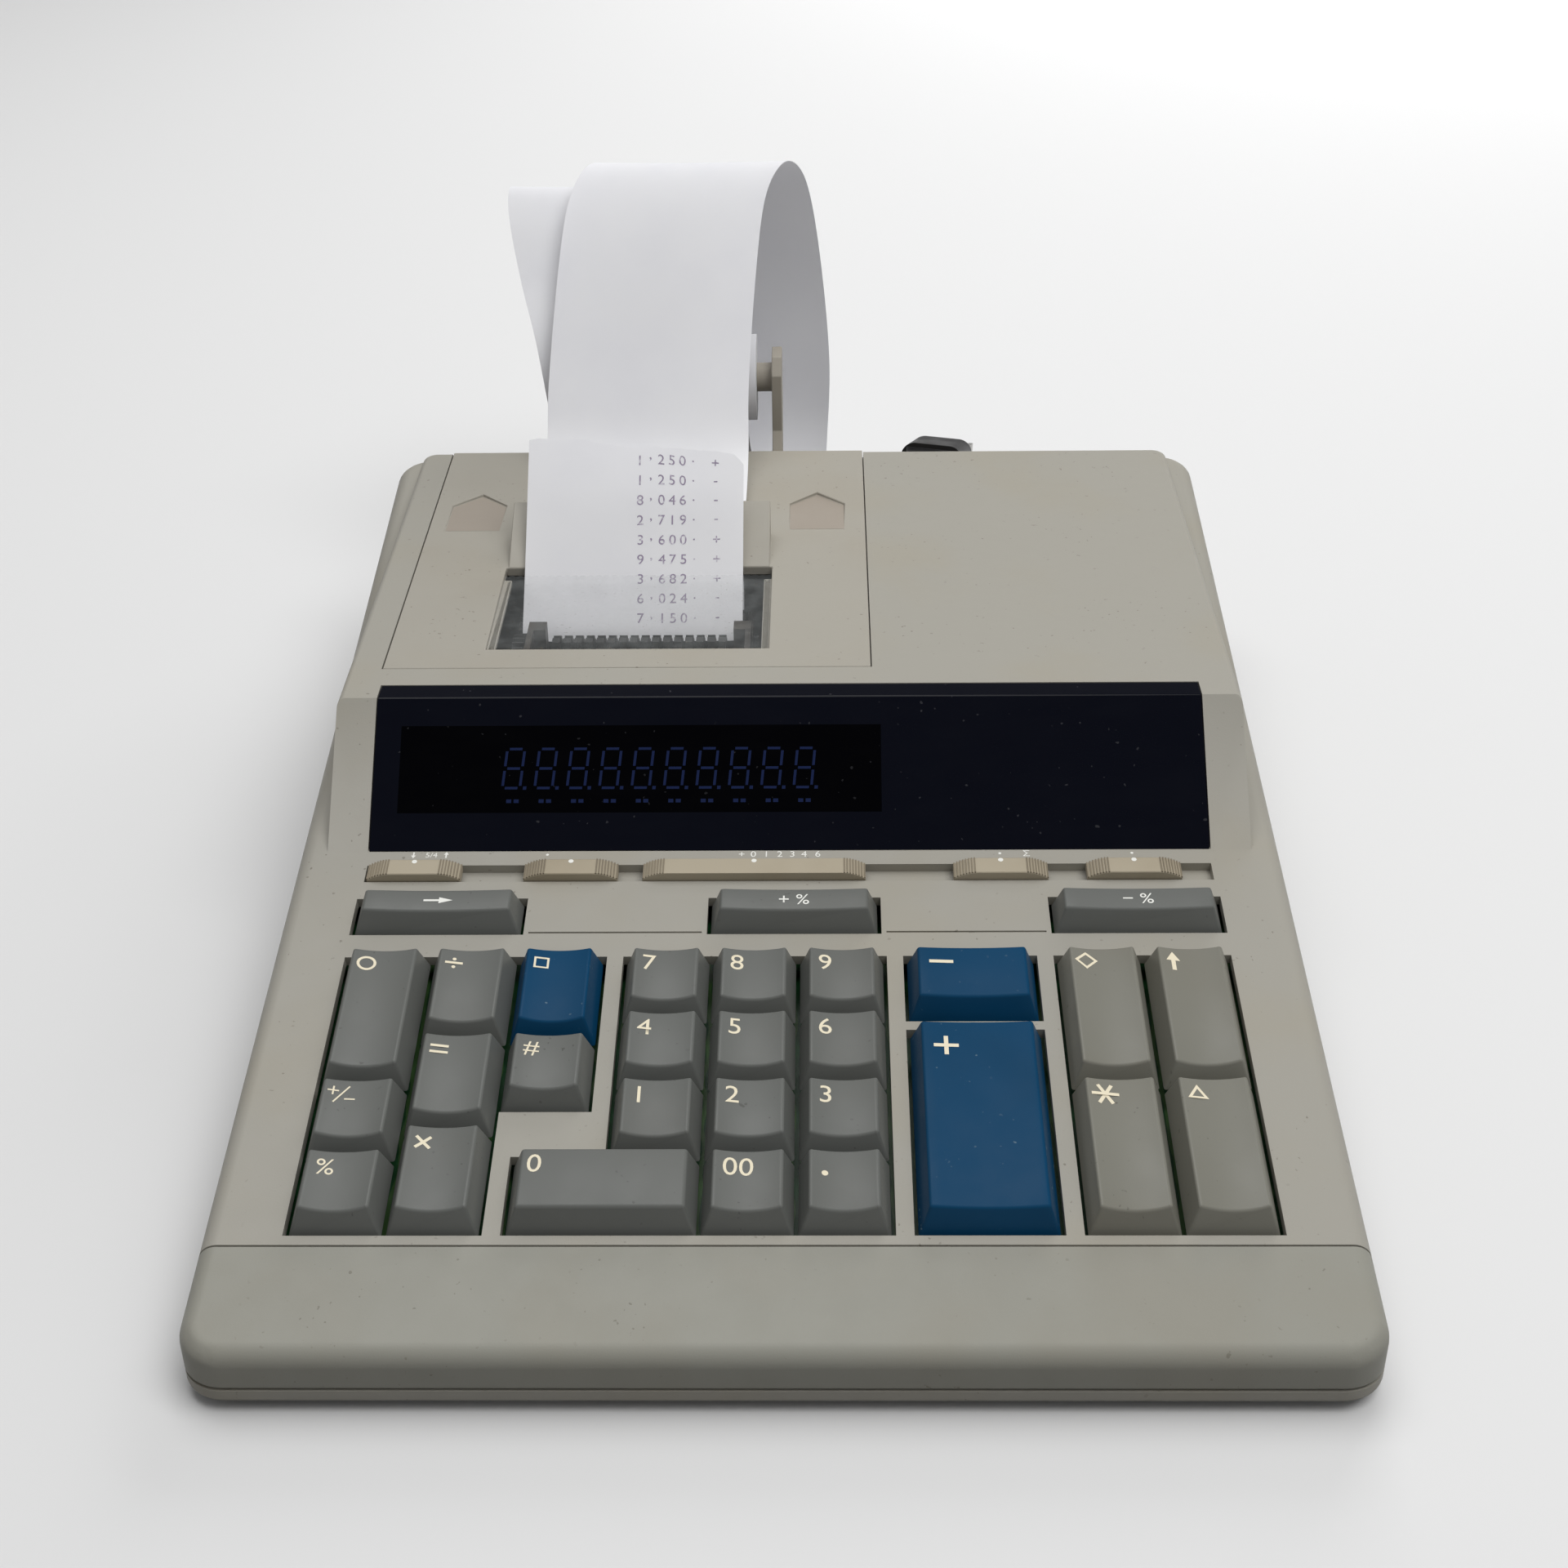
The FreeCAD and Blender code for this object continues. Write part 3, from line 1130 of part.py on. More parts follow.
# The paper rises from the inlet under the hood, runs over a loose turn that has slid to the right,
# under the roll, over a second turn that has slid to the left, and back to the roll
MIDDLE = size("paper_middle")
ROLL_Y, ROLL_Z = size("roll_y"), size("roll_z")
UNDER_ROLL = ROLL_Z - size("flange_radius") - size("roller_gap") - size("paper_thick") / 2
INLET_Y, INLET_Z = size("hood_back"), size("housing_top") + size("inlet_height")
WEB_ROUTE = [
    (size(PLATEN_Y) + 8.4, size("frame_shelf") + 1.6, MIDDLE),
    (INLET_Y - 15, INLET_Z - 6.7, MIDDLE),
    (INLET_Y, INLET_Z, MIDDLE),
    (ROLL_Y - 58, INLET_Z - 0.2, MIDDLE),
    (ROLL_Y - 39, ROLL_Z - 5.5, MIDDLE),
    (ROLL_Y - 24, ROLL_Z + 8.5, MIDDLE),
    (ROLL_Y - 1, ROLL_Z + 33, MIDDLE + 2),
    (ROLL_Y + 17, ROLL_Z + 48.5, MIDDLE + 4.6),
    (ROLL_Y + 31, ROLL_Z + 54, MIDDLE + 9.5),
    (ROLL_Y + 42, ROLL_Z + 49, MIDDLE + 14.5),
    (ROLL_Y + 51, ROLL_Z + 35, MIDDLE + 18),
    (ROLL_Y + 60, ROLL_Z + 8, MIDDLE + 21.2),
    (ROLL_Y + 62.5, ROLL_Z - 20, MIDDLE + 23.2),
    (ROLL_Y + 61.5, ROLL_Z - 42, MIDDLE + 22.6),
    (ROLL_Y + 55, ROLL_Z - 53, MIDDLE + 21),
    (ROLL_Y + 44, ROLL_Z - 51, MIDDLE + 14),
    (ROLL_Y + 26, ROLL_Z - 40, MIDDLE + 5),
    (ROLL_Y + 8, ROLL_Z - 30, MIDDLE),
    (ROLL_Y - 6, ROLL_Z - 23.5, MIDDLE),
    (ROLL_Y - 14.5, ROLL_Z - 13.5, MIDDLE - 0.5),
    (ROLL_Y - 16, ROLL_Z + 1, MIDDLE - 2),
    (ROLL_Y - 8.5, ROLL_Z + 15, MIDDLE - 5),
    (ROLL_Y + 6, ROLL_Z + 28.5, MIDDLE - 10),
    (ROLL_Y + 21, ROLL_Z + 42, MIDDLE - 14),
    (ROLL_Y + 33, ROLL_Z + 47, MIDDLE - 14.5),
    (ROLL_Y + 44, ROLL_Z + 38, MIDDLE - 12),
    (ROLL_Y + 51.5, ROLL_Z + 20, MIDDLE - 8),
    (ROLL_Y + 46.5, ROLL_Z + 1, MIDDLE - 4),
    (ROLL_Y + 31, ROLL_Z - 12.5, MIDDLE - 1),
    (ROLL_Y + 13, UNDER_ROLL - 1.2, MIDDLE),
    (ROLL_Y, UNDER_ROLL, MIDDLE),
]
WEB_STATIONS = 70
piece("paper_web", strip(WEB_ROUTE, WEB_STATIONS))

# The printed tape comes up between platen and type, past the tear edge, and leans over the hood
TEAR_Y, TEAR_Z = size("tear_edge"), size("housing_top")
TAPE_ROUTE = [
    (size(PLATEN_Y) - 7.4, size("wheel_z") + 3.9, MIDDLE),
    (TEAR_Y - 7.8, TEAR_Z - 8.8, MIDDLE),
    (TEAR_Y + 4.6, TEAR_Z + 1.7, MIDDLE),
    (TEAR_Y + 16.2, TEAR_Z + 12.5, MIDDLE),
    (TEAR_Y + 27.7, TEAR_Z + 23.3, MIDDLE),
]
TAPE_STATIONS = 10
piece("printed_tape", strip(TAPE_ROUTE, TAPE_STATIONS))

# The strain relief: a tapered sleeve outside the wall, a neck through it and a flange inside
sleeve = doc.addObject("Part::Cone", "Sleeve")
bind(sleeve, Radius1="relief_radius", Radius2="relief_tip", Height="relief_length")
sleeve.Placement = FreeCAD.Placement(FreeCAD.Vector(), FreeCAD.Rotation(ALONG_Z, ALONG_Y))
put(sleeve, "cord_x", "case_back", "cord_z")
neck = rod(ALONG_Y, "relief_tip", "2 * wall", "cord_x", "case_back - 2 * wall", "cord_z")
flange = rod(
    ALONG_Y, "relief_radius - screw_room", "wall", "cord_x", "case_back - 2 * wall - screw_room", "cord_z",
)
piece("strain_relief", join(sleeve, neck, flange))

CORD_RADIUS = size("cord_diameter") / 2
CORD_START = FreeCAD.Vector(size("cord_x"), size("case_back") + size("relief_length"), size("cord_z"))
FLOOR_LINE = CORD_RADIUS + 0.05
COIL_MIDDLE = FreeCAD.Vector(3.0, 338.0, 0)
COIL_OUTER = 49.0
COIL_INNER = 26.0
TURN_STEP = 7.2
LAYER_STEP = 7.2
PLUG_HEIGHT = 30.0
PLUG_TURN_RADIUS = 37.0
COIL_START = COIL_MIDDLE + FreeCAD.Vector(COIL_OUTER, 0, FLOOR_LINE)
CORD_ROUTE = [
    CORD_START,
    FreeCAD.Vector(55.0, 307.0, 10.5),
    FreeCAD.Vector(54.6, 313.0, 9.6),
    FreeCAD.Vector(53.8, 319.5, 7.2),
    FreeCAD.Vector(52.9, 326.0, 4.75),
    FreeCAD.Vector(52.2, 332.0, 3.5),
    COIL_START,
]


def rounded_path(points):
    """Straight runs joined by tangent arcs as large as their runs allow; gives edges and radii."""
    edges = []
    radii = []
    start = points[0]
    for before, corner, after in zip(points, points[1:], points[2:]):
        inward = (before - corner).normalize()
        outward = (after - corner).normalize()
        half_turn = (math.pi - inward.getAngle(outward)) / 2
        reach = 0.45 * min((before - corner).Length, (after - corner).Length)
        radii.append(reach / math.tan(half_turn))
        first = corner + inward * reach
        last = corner + outward * reach
        bisector = (inward + outward).normalize()
        centre_gap = radii[-1] / math.cos(half_turn)
        middle = corner + bisector * (centre_gap - radii[-1])
        edges.append(Part.LineSegment(start, first).toShape())
        edges.append(Part.Arc(first, middle, last).toShape())
        start = last
    edges.append(Part.LineSegment(start, points[-1]).toShape())
    return edges, radii


def tube_along(edges, radius):
    """Round tube along a chain of edges."""
    path = Part.Wire(edges)
    first = path.Edges[0]
    heading = first.tangentAt(first.FirstParameter)
    ring = Part.Wire([Part.Circle(first.Vertexes[0].Point, heading, radius).toShape()])
    item = doc.addObject("Part::Feature", "Tube")
    item.Shape = path.makePipeShell([ring], True, False)
    drawn = math.pi * radius ** 2 * path.Length
    print(
        "tube length %.1f mm, volume %.4f of section times length" % (path.Length, item.Shape.Volume / drawn)
    )
    return item


cord_edges, cord_radii = rounded_path(CORD_ROUTE)
print("cord radii", " ".join("%.0f" % radius for radius in cord_radii))
piece("power_cord", tube_along(cord_edges, CORD_RADIUS))

# The coil spirals in on the floor, climbs a layer where it turns back, spirals out, and climbs to the plug
INWARD_TURNS = (COIL_OUTER - COIL_INNER) / TURN_STEP
CLIMB_TURNS = 0.5
END_TURNS = 0.5
TOTAL_TURNS = 6.958
OUTWARD_TURNS = TOTAL_TURNS - INWARD_TURNS - CLIMB_TURNS - END_TURNS
LAST_REST = 0.7


def ease(share):
    """Smooth rise from nought to one."""
    return share * share * (3 - 2 * share)


def coil_point(turns):
    """Point of the coil after a number of turns."""
    radius = COIL_OUTER - TURN_STEP * turns
    height = FLOOR_LINE
    back = turns - INWARD_TURNS
    if back > 0:
        share = min(back / CLIMB_TURNS, 1)
        radius = COIL_INNER - TURN_STEP * CLIMB_TURNS * share * (1 - share)
        height = FLOOR_LINE + LAYER_STEP * ease(share)
    out = back - CLIMB_TURNS
    if out > 0:
        radius = COIL_INNER + TURN_STEP * min(out, OUTWARD_TURNS)
    end = out - OUTWARD_TURNS
    if end > 0:
        share = min(end / END_TURNS, 1)
        rise = ease(min(share / CLIMB_TURNS, 1))
        radius += TURN_STEP * END_TURNS * CLIMB_TURNS * rise
        radius += (PLUG_TURN_RADIUS - radius) * ease(max(share - CLIMB_TURNS, 0) / (1 - CLIMB_TURNS))
        height += LAYER_STEP * rise
        height += (PLUG_HEIGHT - height) * ease(max(share - LAST_REST, 0) / (1 - LAST_REST))
    angle = 2 * math.pi * turns
    return COIL_MIDDLE + FreeCAD.Vector(radius * math.cos(angle), radius * math.sin(angle), height)


def arc_from(start, heading, end):
    """Arc that leaves a point along a heading and ends at another point, and its final heading."""
    chord = end - start
    reach = chord.Length
    lean = heading.getAngle(chord)
    if lean < 1e-4:
        return Part.LineSegment(start, end).toShape()
    side = heading - chord * (heading.dot(chord) / reach ** 2)
    middle = start + chord * 0.5 + side.normalize() * (reach / 2 * math.tan(lean / 2))
    return Part.Arc(start, middle, end).toShape()


def biarc(start, heading, end, final):
    """Two tangent arcs between two points with given headings."""
    chord = end - start
    both = heading + final
    spread = 2 * (1 - heading.dot(final))
    lean = chord.dot(both)
    if spread < 1e-9:
        reach = chord.dot(chord) / (2 * lean)
    else:
        reach = (math.sqrt(lean ** 2 + spread * chord.dot(chord)) - lean) / spread
    joint = (start + end + (heading - final) * reach) * 0.5
    back = arc_from(end, final * -1, joint)
    return [arc_from(start, heading, joint), Part.Wire([back]).Edges[0]]


QUARTERS = 4 * math.ceil(TOTAL_TURNS)
SMALL = 1e-4
stops = [TOTAL_TURNS * index / QUARTERS for index in range(QUARTERS + 1)]
places = [coil_point(stop) for stop in stops]
headings = [(coil_point(stop + SMALL) - coil_point(stop - SMALL)).normalize() for stop in stops]
headings[0] = FreeCAD.Vector(0, 1, 0)
PLUG_TILT = math.radians(size("plug_tilt"))
level = FreeCAD.Vector(headings[-1].x, headings[-1].y, 0).normalize()
headings[-1] = level * math.cos(PLUG_TILT) - ALONG_Z * math.sin(PLUG_TILT)
coil_edges = []
for start, heading, end, final in zip(places, headings, places[1:], headings[1:]):
    coil_edges.extend(biarc(start, heading, end, final))
coil_end = places[-1] + headings[-1] * size("cord_diameter")
coil_edges.append(Part.LineSegment(places[-1], coil_end).toShape())
coil_edges = Part.__sortEdges__(coil_edges)
piece("cord_coil", tube_along(coil_edges, CORD_RADIUS))

samples = [point for edge in coil_edges for point in edge.discretize(Number=9)[:-1]]
SKIP = 24
nearest = min(
    (samples[first] - samples[second]).Length
    for first in range(len(samples))
    for second in range(first + SKIP, len(samples))
)
print("least gap of the coil to itself %.2f mm" % (nearest - size("cord_diameter")))

# The mains plug lies on the coil: a tapered grip, a moulded body and two flat blades
PLUG_GRIP = "(plug_length * 0.4)"
grip = frustum(
    "0", "0", "(plug_width / 2 - plug_round / 3)", "(plug_thick / 2 - plug_round / 3)", "0", PLUG_GRIP,
    "plug_width / 6", "plug_thick / 6", "plug_thick / 6",
)
plug_body = prism("XY_Plane", [
    ("-plug_width / 2", "-plug_thick / 2"),
    ("plug_width / 2", "-plug_thick / 2"),
    ("plug_width / 2", "plug_thick / 2"),
    ("-plug_width / 2", "plug_thick / 2"),
], "plug_length - " + PLUG_GRIP, symmetric=False)
round_edges(plug_body, "plug_round", is_upright)
put(plug_body, z=PLUG_GRIP + " - plug_length")
blades = [
    span(
        (side + "blade_spread / 2 - blade_thick / 2", side + "blade_spread / 2 + blade_thick / 2"),
        ("-blade_width / 2", "blade_width / 2"),
        (PLUG_GRIP + " - plug_length - blade_length", PLUG_GRIP + " - plug_length"),
    )
    for side in ("", "-")
]
plug = join(grip, plug_body, *blades)
plug.Label = "mains_plug"
reach = coil_end + headings[-1] * size(PLUG_GRIP)
lay = FreeCAD.Rotation(headings[-1].cross(ALONG_Z), ALONG_Z, headings[-1] * -1, "XZY")
plug.Placement = FreeCAD.Placement(reach - FreeCAD.Vector(0, size("origin_to_deck"), 0), lay)
pieces["mains_plug"] = plug

doc.recompute()
faults = [item.Label for item in doc.Objects if "Invalid" in item.State or "Error" in item.State]
for name, item in pieces.items():
    if item.Shape.isNull() or not item.Shape.isValid() or not item.Shape.Solids:
        faults.append(name)
if faults:
    raise RuntimeError("these did not build: " + ", ".join(faults))
os.makedirs("parts", exist_ok=True)
for name, item in pieces.items():
    item.Shape.exportStep("parts/%s.step" % name)
print("%d sub-parts written" % len(pieces))
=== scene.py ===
"""Looks of a desktop printing calculator: finishes, legends, paper, mains lead, light and camera."""
import json
import logging
import math
from dataclasses import dataclass
from enum import Enum
from typing import Callable, Iterable, Sequence, Union

import bmesh
import bpy
from mathutils import Matrix, Vector
from mathutils.bvhtree import BVHTree
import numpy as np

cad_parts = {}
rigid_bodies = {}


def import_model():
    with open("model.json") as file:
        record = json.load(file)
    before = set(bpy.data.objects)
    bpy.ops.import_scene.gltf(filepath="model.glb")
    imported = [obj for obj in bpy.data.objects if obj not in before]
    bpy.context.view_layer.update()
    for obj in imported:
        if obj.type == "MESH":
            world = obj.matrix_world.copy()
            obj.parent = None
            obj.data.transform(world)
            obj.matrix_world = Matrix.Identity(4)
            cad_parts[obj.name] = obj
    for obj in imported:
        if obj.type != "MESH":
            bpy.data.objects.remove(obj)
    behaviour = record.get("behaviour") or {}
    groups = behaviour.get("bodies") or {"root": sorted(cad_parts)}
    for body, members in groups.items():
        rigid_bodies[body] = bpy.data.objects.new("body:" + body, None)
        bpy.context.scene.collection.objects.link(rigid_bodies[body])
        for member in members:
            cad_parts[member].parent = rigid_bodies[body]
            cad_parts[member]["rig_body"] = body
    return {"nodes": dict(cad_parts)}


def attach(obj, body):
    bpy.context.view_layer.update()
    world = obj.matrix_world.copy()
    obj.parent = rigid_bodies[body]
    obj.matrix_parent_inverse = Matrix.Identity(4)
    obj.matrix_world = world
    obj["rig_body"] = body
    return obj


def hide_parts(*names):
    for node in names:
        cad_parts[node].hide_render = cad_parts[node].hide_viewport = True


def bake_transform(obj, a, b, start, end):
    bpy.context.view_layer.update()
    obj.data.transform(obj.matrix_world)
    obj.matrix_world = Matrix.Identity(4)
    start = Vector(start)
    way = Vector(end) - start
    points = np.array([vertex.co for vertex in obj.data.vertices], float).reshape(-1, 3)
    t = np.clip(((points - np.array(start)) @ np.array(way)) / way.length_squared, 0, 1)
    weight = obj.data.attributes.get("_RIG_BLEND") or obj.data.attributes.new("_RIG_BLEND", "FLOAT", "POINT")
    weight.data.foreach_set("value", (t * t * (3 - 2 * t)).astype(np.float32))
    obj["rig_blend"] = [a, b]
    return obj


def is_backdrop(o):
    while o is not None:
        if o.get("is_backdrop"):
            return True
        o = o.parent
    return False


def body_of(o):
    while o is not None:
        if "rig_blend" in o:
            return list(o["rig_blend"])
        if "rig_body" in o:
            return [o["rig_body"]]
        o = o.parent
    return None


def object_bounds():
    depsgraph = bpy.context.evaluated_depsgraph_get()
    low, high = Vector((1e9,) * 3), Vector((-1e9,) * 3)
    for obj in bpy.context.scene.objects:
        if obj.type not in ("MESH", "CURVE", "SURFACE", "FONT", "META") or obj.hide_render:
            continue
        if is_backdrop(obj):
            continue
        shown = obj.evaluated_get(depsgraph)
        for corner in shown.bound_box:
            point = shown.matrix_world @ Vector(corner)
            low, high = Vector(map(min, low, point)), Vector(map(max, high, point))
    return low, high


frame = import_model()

LOG = logging.getLogger("calculator")
MM = 0.001
MACHINE = "machine"
COVER = "cover"

# The machine's own frame: its zero stands at the lower edge of the key openings
ORIGIN_TO_DECK = 169.97 * MM
DECK_HEIGHT = 18.75 * MM
DECK_ANGLE = math.radians(8)
DECK_NORMAL = Vector((0, -math.sin(DECK_ANGLE), math.cos(DECK_ANGLE)))
DECK_UP = Vector((0, math.cos(DECK_ANGLE), math.sin(DECK_ANGLE)))

# Axis of the paper roll and middle of the paper, in the machine's millimetres
ROLL_Y, ROLL_Z = 305.0, 72.0
PAPER_X = -41.0

# Points of a CAD mesh nearer than MERGE are one point, and faces within FLAT of each other are one face
MERGE = 0.002 * MM
FLAT = math.radians(0.5)

# Print stands off what carries it by this, in millimetres
PRINT_LIFT = 0.03

Number = Union[int, float]
Colour = tuple[float, float, float]


def srgb(red: int, green: int, blue: int) -> Colour:
    """Turns a screen colour into the linear one that a shader takes.

    Args:
        red: Red from 0 to 255.
        green: Green from 0 to 255.
        blue: Blue from 0 to 255.

    Returns:
        The linear colour.
    """
    shares = [channel / 255 for channel in (red, green, blue)]
    return tuple(s / 12.92 if s <= 0.04045 else ((s + 0.055) / 1.055) ** 2.4 for s in shares)


def machine_point(x: Number, y: Number, z: Number) -> Vector:
    """Gives the frame's point for a place in the machine's own millimetres."""
    return Vector((x * MM, y * MM - ORIGIN_TO_DECK, z * MM))


def deck_point(x: Number, v: Number, w: Number = 0) -> Vector:
    """Gives the frame's point for millimetres across, up and out of the key deck."""
    foot = Vector((x * MM, -ORIGIN_TO_DECK, DECK_HEIGHT))
    return foot + DECK_UP * (v * MM) + DECK_NORMAL * (w * MM)


class Term:
    """A shader socket that takes part in Python arithmetic."""

    def __init__(self, bench: "Bench", socket: bpy.types.NodeSocket) -> None:
        """Keeps the socket and the bench that adds its nodes."""
        self.bench = bench
        self.socket = socket

    def _math(self, operation: str, first: "Term | Number", second: "Term | Number") -> "Term":
        """Adds one Math node on two values."""
        return self.bench.add("ShaderNodeMath", {"operation": operation}, {0: first, 1: second})

    def __add__(self, other: "Term | Number") -> "Term":
        """Sum."""
        return self._math("ADD", self, other)

    def __sub__(self, other: "Term | Number") -> "Term":
        """Difference."""
        return self._math("SUBTRACT", self, other)

    def __rsub__(self, other: Number) -> "Term":
        """Difference from a number."""
        return self._math("SUBTRACT", other, self)

    def __mul__(self, other: "Term | Number") -> "Term":
        """Product."""
        return self._math("MULTIPLY", self, other)

    def __truediv__(self, other: "Term | Number") -> "Term":
        """Quotient."""
        return self._math("DIVIDE", self, other)

    def __gt__(self, other: "Term | Number") -> "Term":
        """One where the value is the greater, nought elsewhere."""
        return self._math("GREATER_THAN", self, other)

    __radd__ = __add__
    __rmul__ = __mul__


class Bench:
    """A node tree, and the one method that adds nodes to it."""

    def __init__(self, tree: bpy.types.NodeTree) -> None:
        """Keeps the tree and empties it."""
        self.tree = tree
        self.tree.nodes.clear()

    def add(self, kind: str, settings: dict, sockets: dict, output: "int | str | None" = 0) -> "Term | None":
        """Adds a node.

        Args:
            kind: The node's type.
            settings: Its properties, set first.
            sockets: Values, terms or lists of terms for its inputs, by name, identifier or number.
            output: Which output the term stands for, or None for a node that ends the tree.

        Returns:
            The output as a term, if any.
        """
        node = self.tree.nodes.new(kind)
        for name, value in settings.items():
            setattr(node, name, value)
        for key, value in sockets.items():
            socket = self._find(node.inputs, key)
            if isinstance(value, (Term, list)):
                for term in value if isinstance(value, list) else [value]:
                    self.tree.links.new(term.socket, socket)
            elif isinstance(value, tuple) and socket.type == "RGBA":
                socket.default_value = (*value, 1.0)
            else:
                socket.default_value = value
        return None if output is None else Term(self, self._find(node.outputs, output))

    @staticmethod
    def _find(sockets: bpy.types.bpy_prop_collection, key: "int | str") -> bpy.types.NodeSocket:
        """Finds a socket.

        Args:
            sockets: Inputs or outputs of a node.
            key: Number, identifier or name of the socket.

        Returns:
            The socket.
        """
        if isinstance(key, int):
            return sockets[key]
        for socket in sockets:
            if socket.identifier == key:
                return socket
        return sockets[key]


class Surface(Bench):
    """The node tree of one material."""

    def __init__(self, name: str) -> None:
        """Starts an empty material.

        Args:
            name: Name of the material.
        """
        self.material = bpy.data.materials.new(name)
        self.material.use_nodes = True
        super().__init__(self.material.node_tree)

    def place(self, stretch: tuple[float, float, float] = (1.0, 1.0, 1.0)) -> Term:
        """Gives the piece's own coordinates, stretched along its axes."""
        spot = self.add("ShaderNodeTexCoord", {}, {}, "Object")
        return self.add("ShaderNodeMapping", {}, {"Vector": spot, "Scale": stretch})

    def noise(self, grain: float, detail: float = 2.0, spot: "Term | None" = None) -> Term:
        """Gives noise from nought to one whose lumps are about grain metres wide."""
        sockets = {"Vector": spot or self.place(), "Scale": 1 / grain, "Detail": detail}
        return self.add("ShaderNodeTexNoise", {}, sockets)

    def window(self, value: Term, low: float, high: float) -> Term:
        """Stretches a part of a value's range to the whole way from nought to one.

        Args:
            value: The value.
            low: What becomes nought.
            high: What becomes one.

        Returns:
            The stretched value.
        """
        settings = {"interpolation_type": "SMOOTHSTEP"}
        sockets = {"Value": value, "From Min": low, "From Max": high}
        return self.add("ShaderNodeMapRange", settings, sockets)

    def mix(self, share: Term, first: "Term | Colour", second: "Term | Colour") -> Term:
        """Mixes two colours by a share."""
        sockets = {"Factor_Float": share, "A_Color": first, "B_Color": second}
        return self.add("ShaderNodeMix", {"data_type": "RGBA"}, sockets, "Result_Color")

    def bump(self, height: Term, depth: float) -> Term:
        """Turns a height from nought to one into a normal, depth metres deep."""
        return self.add("ShaderNodeBump", {}, {"Height": height, "Strength": 1.0, "Distance": depth})

    def finish(self, **sockets: "Term | Number | Colour") -> bpy.types.Material:
        """Ends the tree in one plain surface.

        Args:
            sockets: Values or terms for the surface, with underscores for spaces.

        Returns:
            The finished material.
        """
        named = {name.replace("_", " "): value for name, value in sockets.items()}
        return self.close(self.add("ShaderNodeBsdfPrincipled", {}, named))

    def close(self, shader: Term) -> bpy.types.Material:
        """Ends the tree in a shader and gives the material."""
        self.add("ShaderNodeOutputMaterial", {}, {"Surface": shader}, None)
        return self.material


@dataclass(frozen=True)
class MouldedPlastic:
    """Spark-textured plastic, slightly uneven in colour, with specks and settled dust.

    Attributes:
        name: Material name.
        colour: Colour of the clean plastic.
        aged: Colour that it has yellowed or worn to in patches.
        speck: Colour of the specks, or None for none.
        grain: Width of the texture's lumps, in metres.
        depth: Height of the texture, in metres.
        roughness: Mean roughness.
        patch: How far the patches go towards the aged colour.
        gloss: Specular level of the skin.
    """

    name: str
    colour: Colour
    aged: Colour
    speck: "Colour | None" = None
    grain: float = 0.35 * MM
    depth: float = 0.02 * MM
    roughness: float = 0.5
    patch: float = 0.5
    gloss: float = 0.4

    def material(self) -> bpy.types.Material:
        """Builds the material.

        Returns:
            The finished material.
        """
        bench = Surface(self.name)
        patches = bench.window(bench.noise(35 * MM, detail=4.0), low=0.42, high=0.72)
        colour = bench.mix(patches * self.patch, self.colour, self.aged)
        if self.speck:
            dots = bench.window(bench.noise(1.3 * MM, detail=1.0), low=0.73, high=0.77)
            clusters = bench.window(bench.noise(22 * MM, detail=2.0), low=0.4, high=0.65)
            colour = bench.mix(dots * clusters * 0.55, colour, self.speck)
        skin = bench.noise(self.grain, detail=2.0)
        rub = bench.window(bench.noise(9 * MM, detail=3.0), low=0.3, high=0.7)
        roughness = skin * 0.12 + rub * 0.08 + (self.roughness - 0.1)
        normal = bench.bump(skin, self.depth)
        return bench.finish(Base_Color=colour, Roughness=roughness, Normal=normal, Specular_IOR_Level=self.gloss)


@dataclass(frozen=True)
class GlossPanel:
    """Dark moulded panel with a polished face, finger smears and fine dust.

    Attributes:
        name: Material name.
        colour: Colour of the clean panel.
        dust: Colour of the dust.
        roughness: Roughness of the clean face.
        gloss: Specular level of the face.
    """

    name: str
    colour: Colour
    dust: Colour
    roughness: float = 0.1
    gloss: float = 0.12

    def material(self) -> bpy.types.Material:
        """Builds the material.

        Returns:
            The finished material.
        """
        bench = Surface(self.name)
        smears = bench.window(bench.noise(14 * MM, detail=4.0, spot=bench.place((1.0, 2.4, 2.4))), low=0.35, high=0.8)
        motes = bench.window(bench.noise(1.1 * MM, detail=0.0), low=0.82, high=0.86)
        colour = bench.mix(motes * 0.15 + smears * 0.004, self.colour, self.dust)
        roughness = smears * 0.05 + motes * 0.3 + self.roughness
        normal = bench.bump(bench.noise(30 * MM, detail=1.0), 0.05 * MM)
        return bench.finish(Base_Color=colour, Roughness=roughness, Normal=normal, Specular_IOR_Level=self.gloss)


@dataclass(frozen=True)
class ClearPanel:
    """Clear moulded plastic with a haze of dust and motes.

    Attributes:
        name: Material name.
        tint: Colour of the clean plastic.
        dust: Colour of the motes.
        haze: How far the haze hides what lies behind.
    """

    name: str
    tint: Colour
    dust: Colour
    haze: float

    def material(self) -> bpy.types.Material:
        """Builds the material.

        Returns:
            The finished material.
        """
        bench = Surface(self.name)
        clouds = bench.window(bench.noise(6 * MM, detail=5.0), low=0.4, high=0.75)
        motes = bench.window(bench.noise(0.7 * MM, detail=0.0), low=0.8, high=0.84)
        colour = bench.mix(motes, self.tint, self.dust)
        body = clouds * self.haze + motes * 0.25 + 0.05
        return bench.finish(Base_Color=colour, Roughness=clouds * 0.1 + 0.06, Alpha=body)


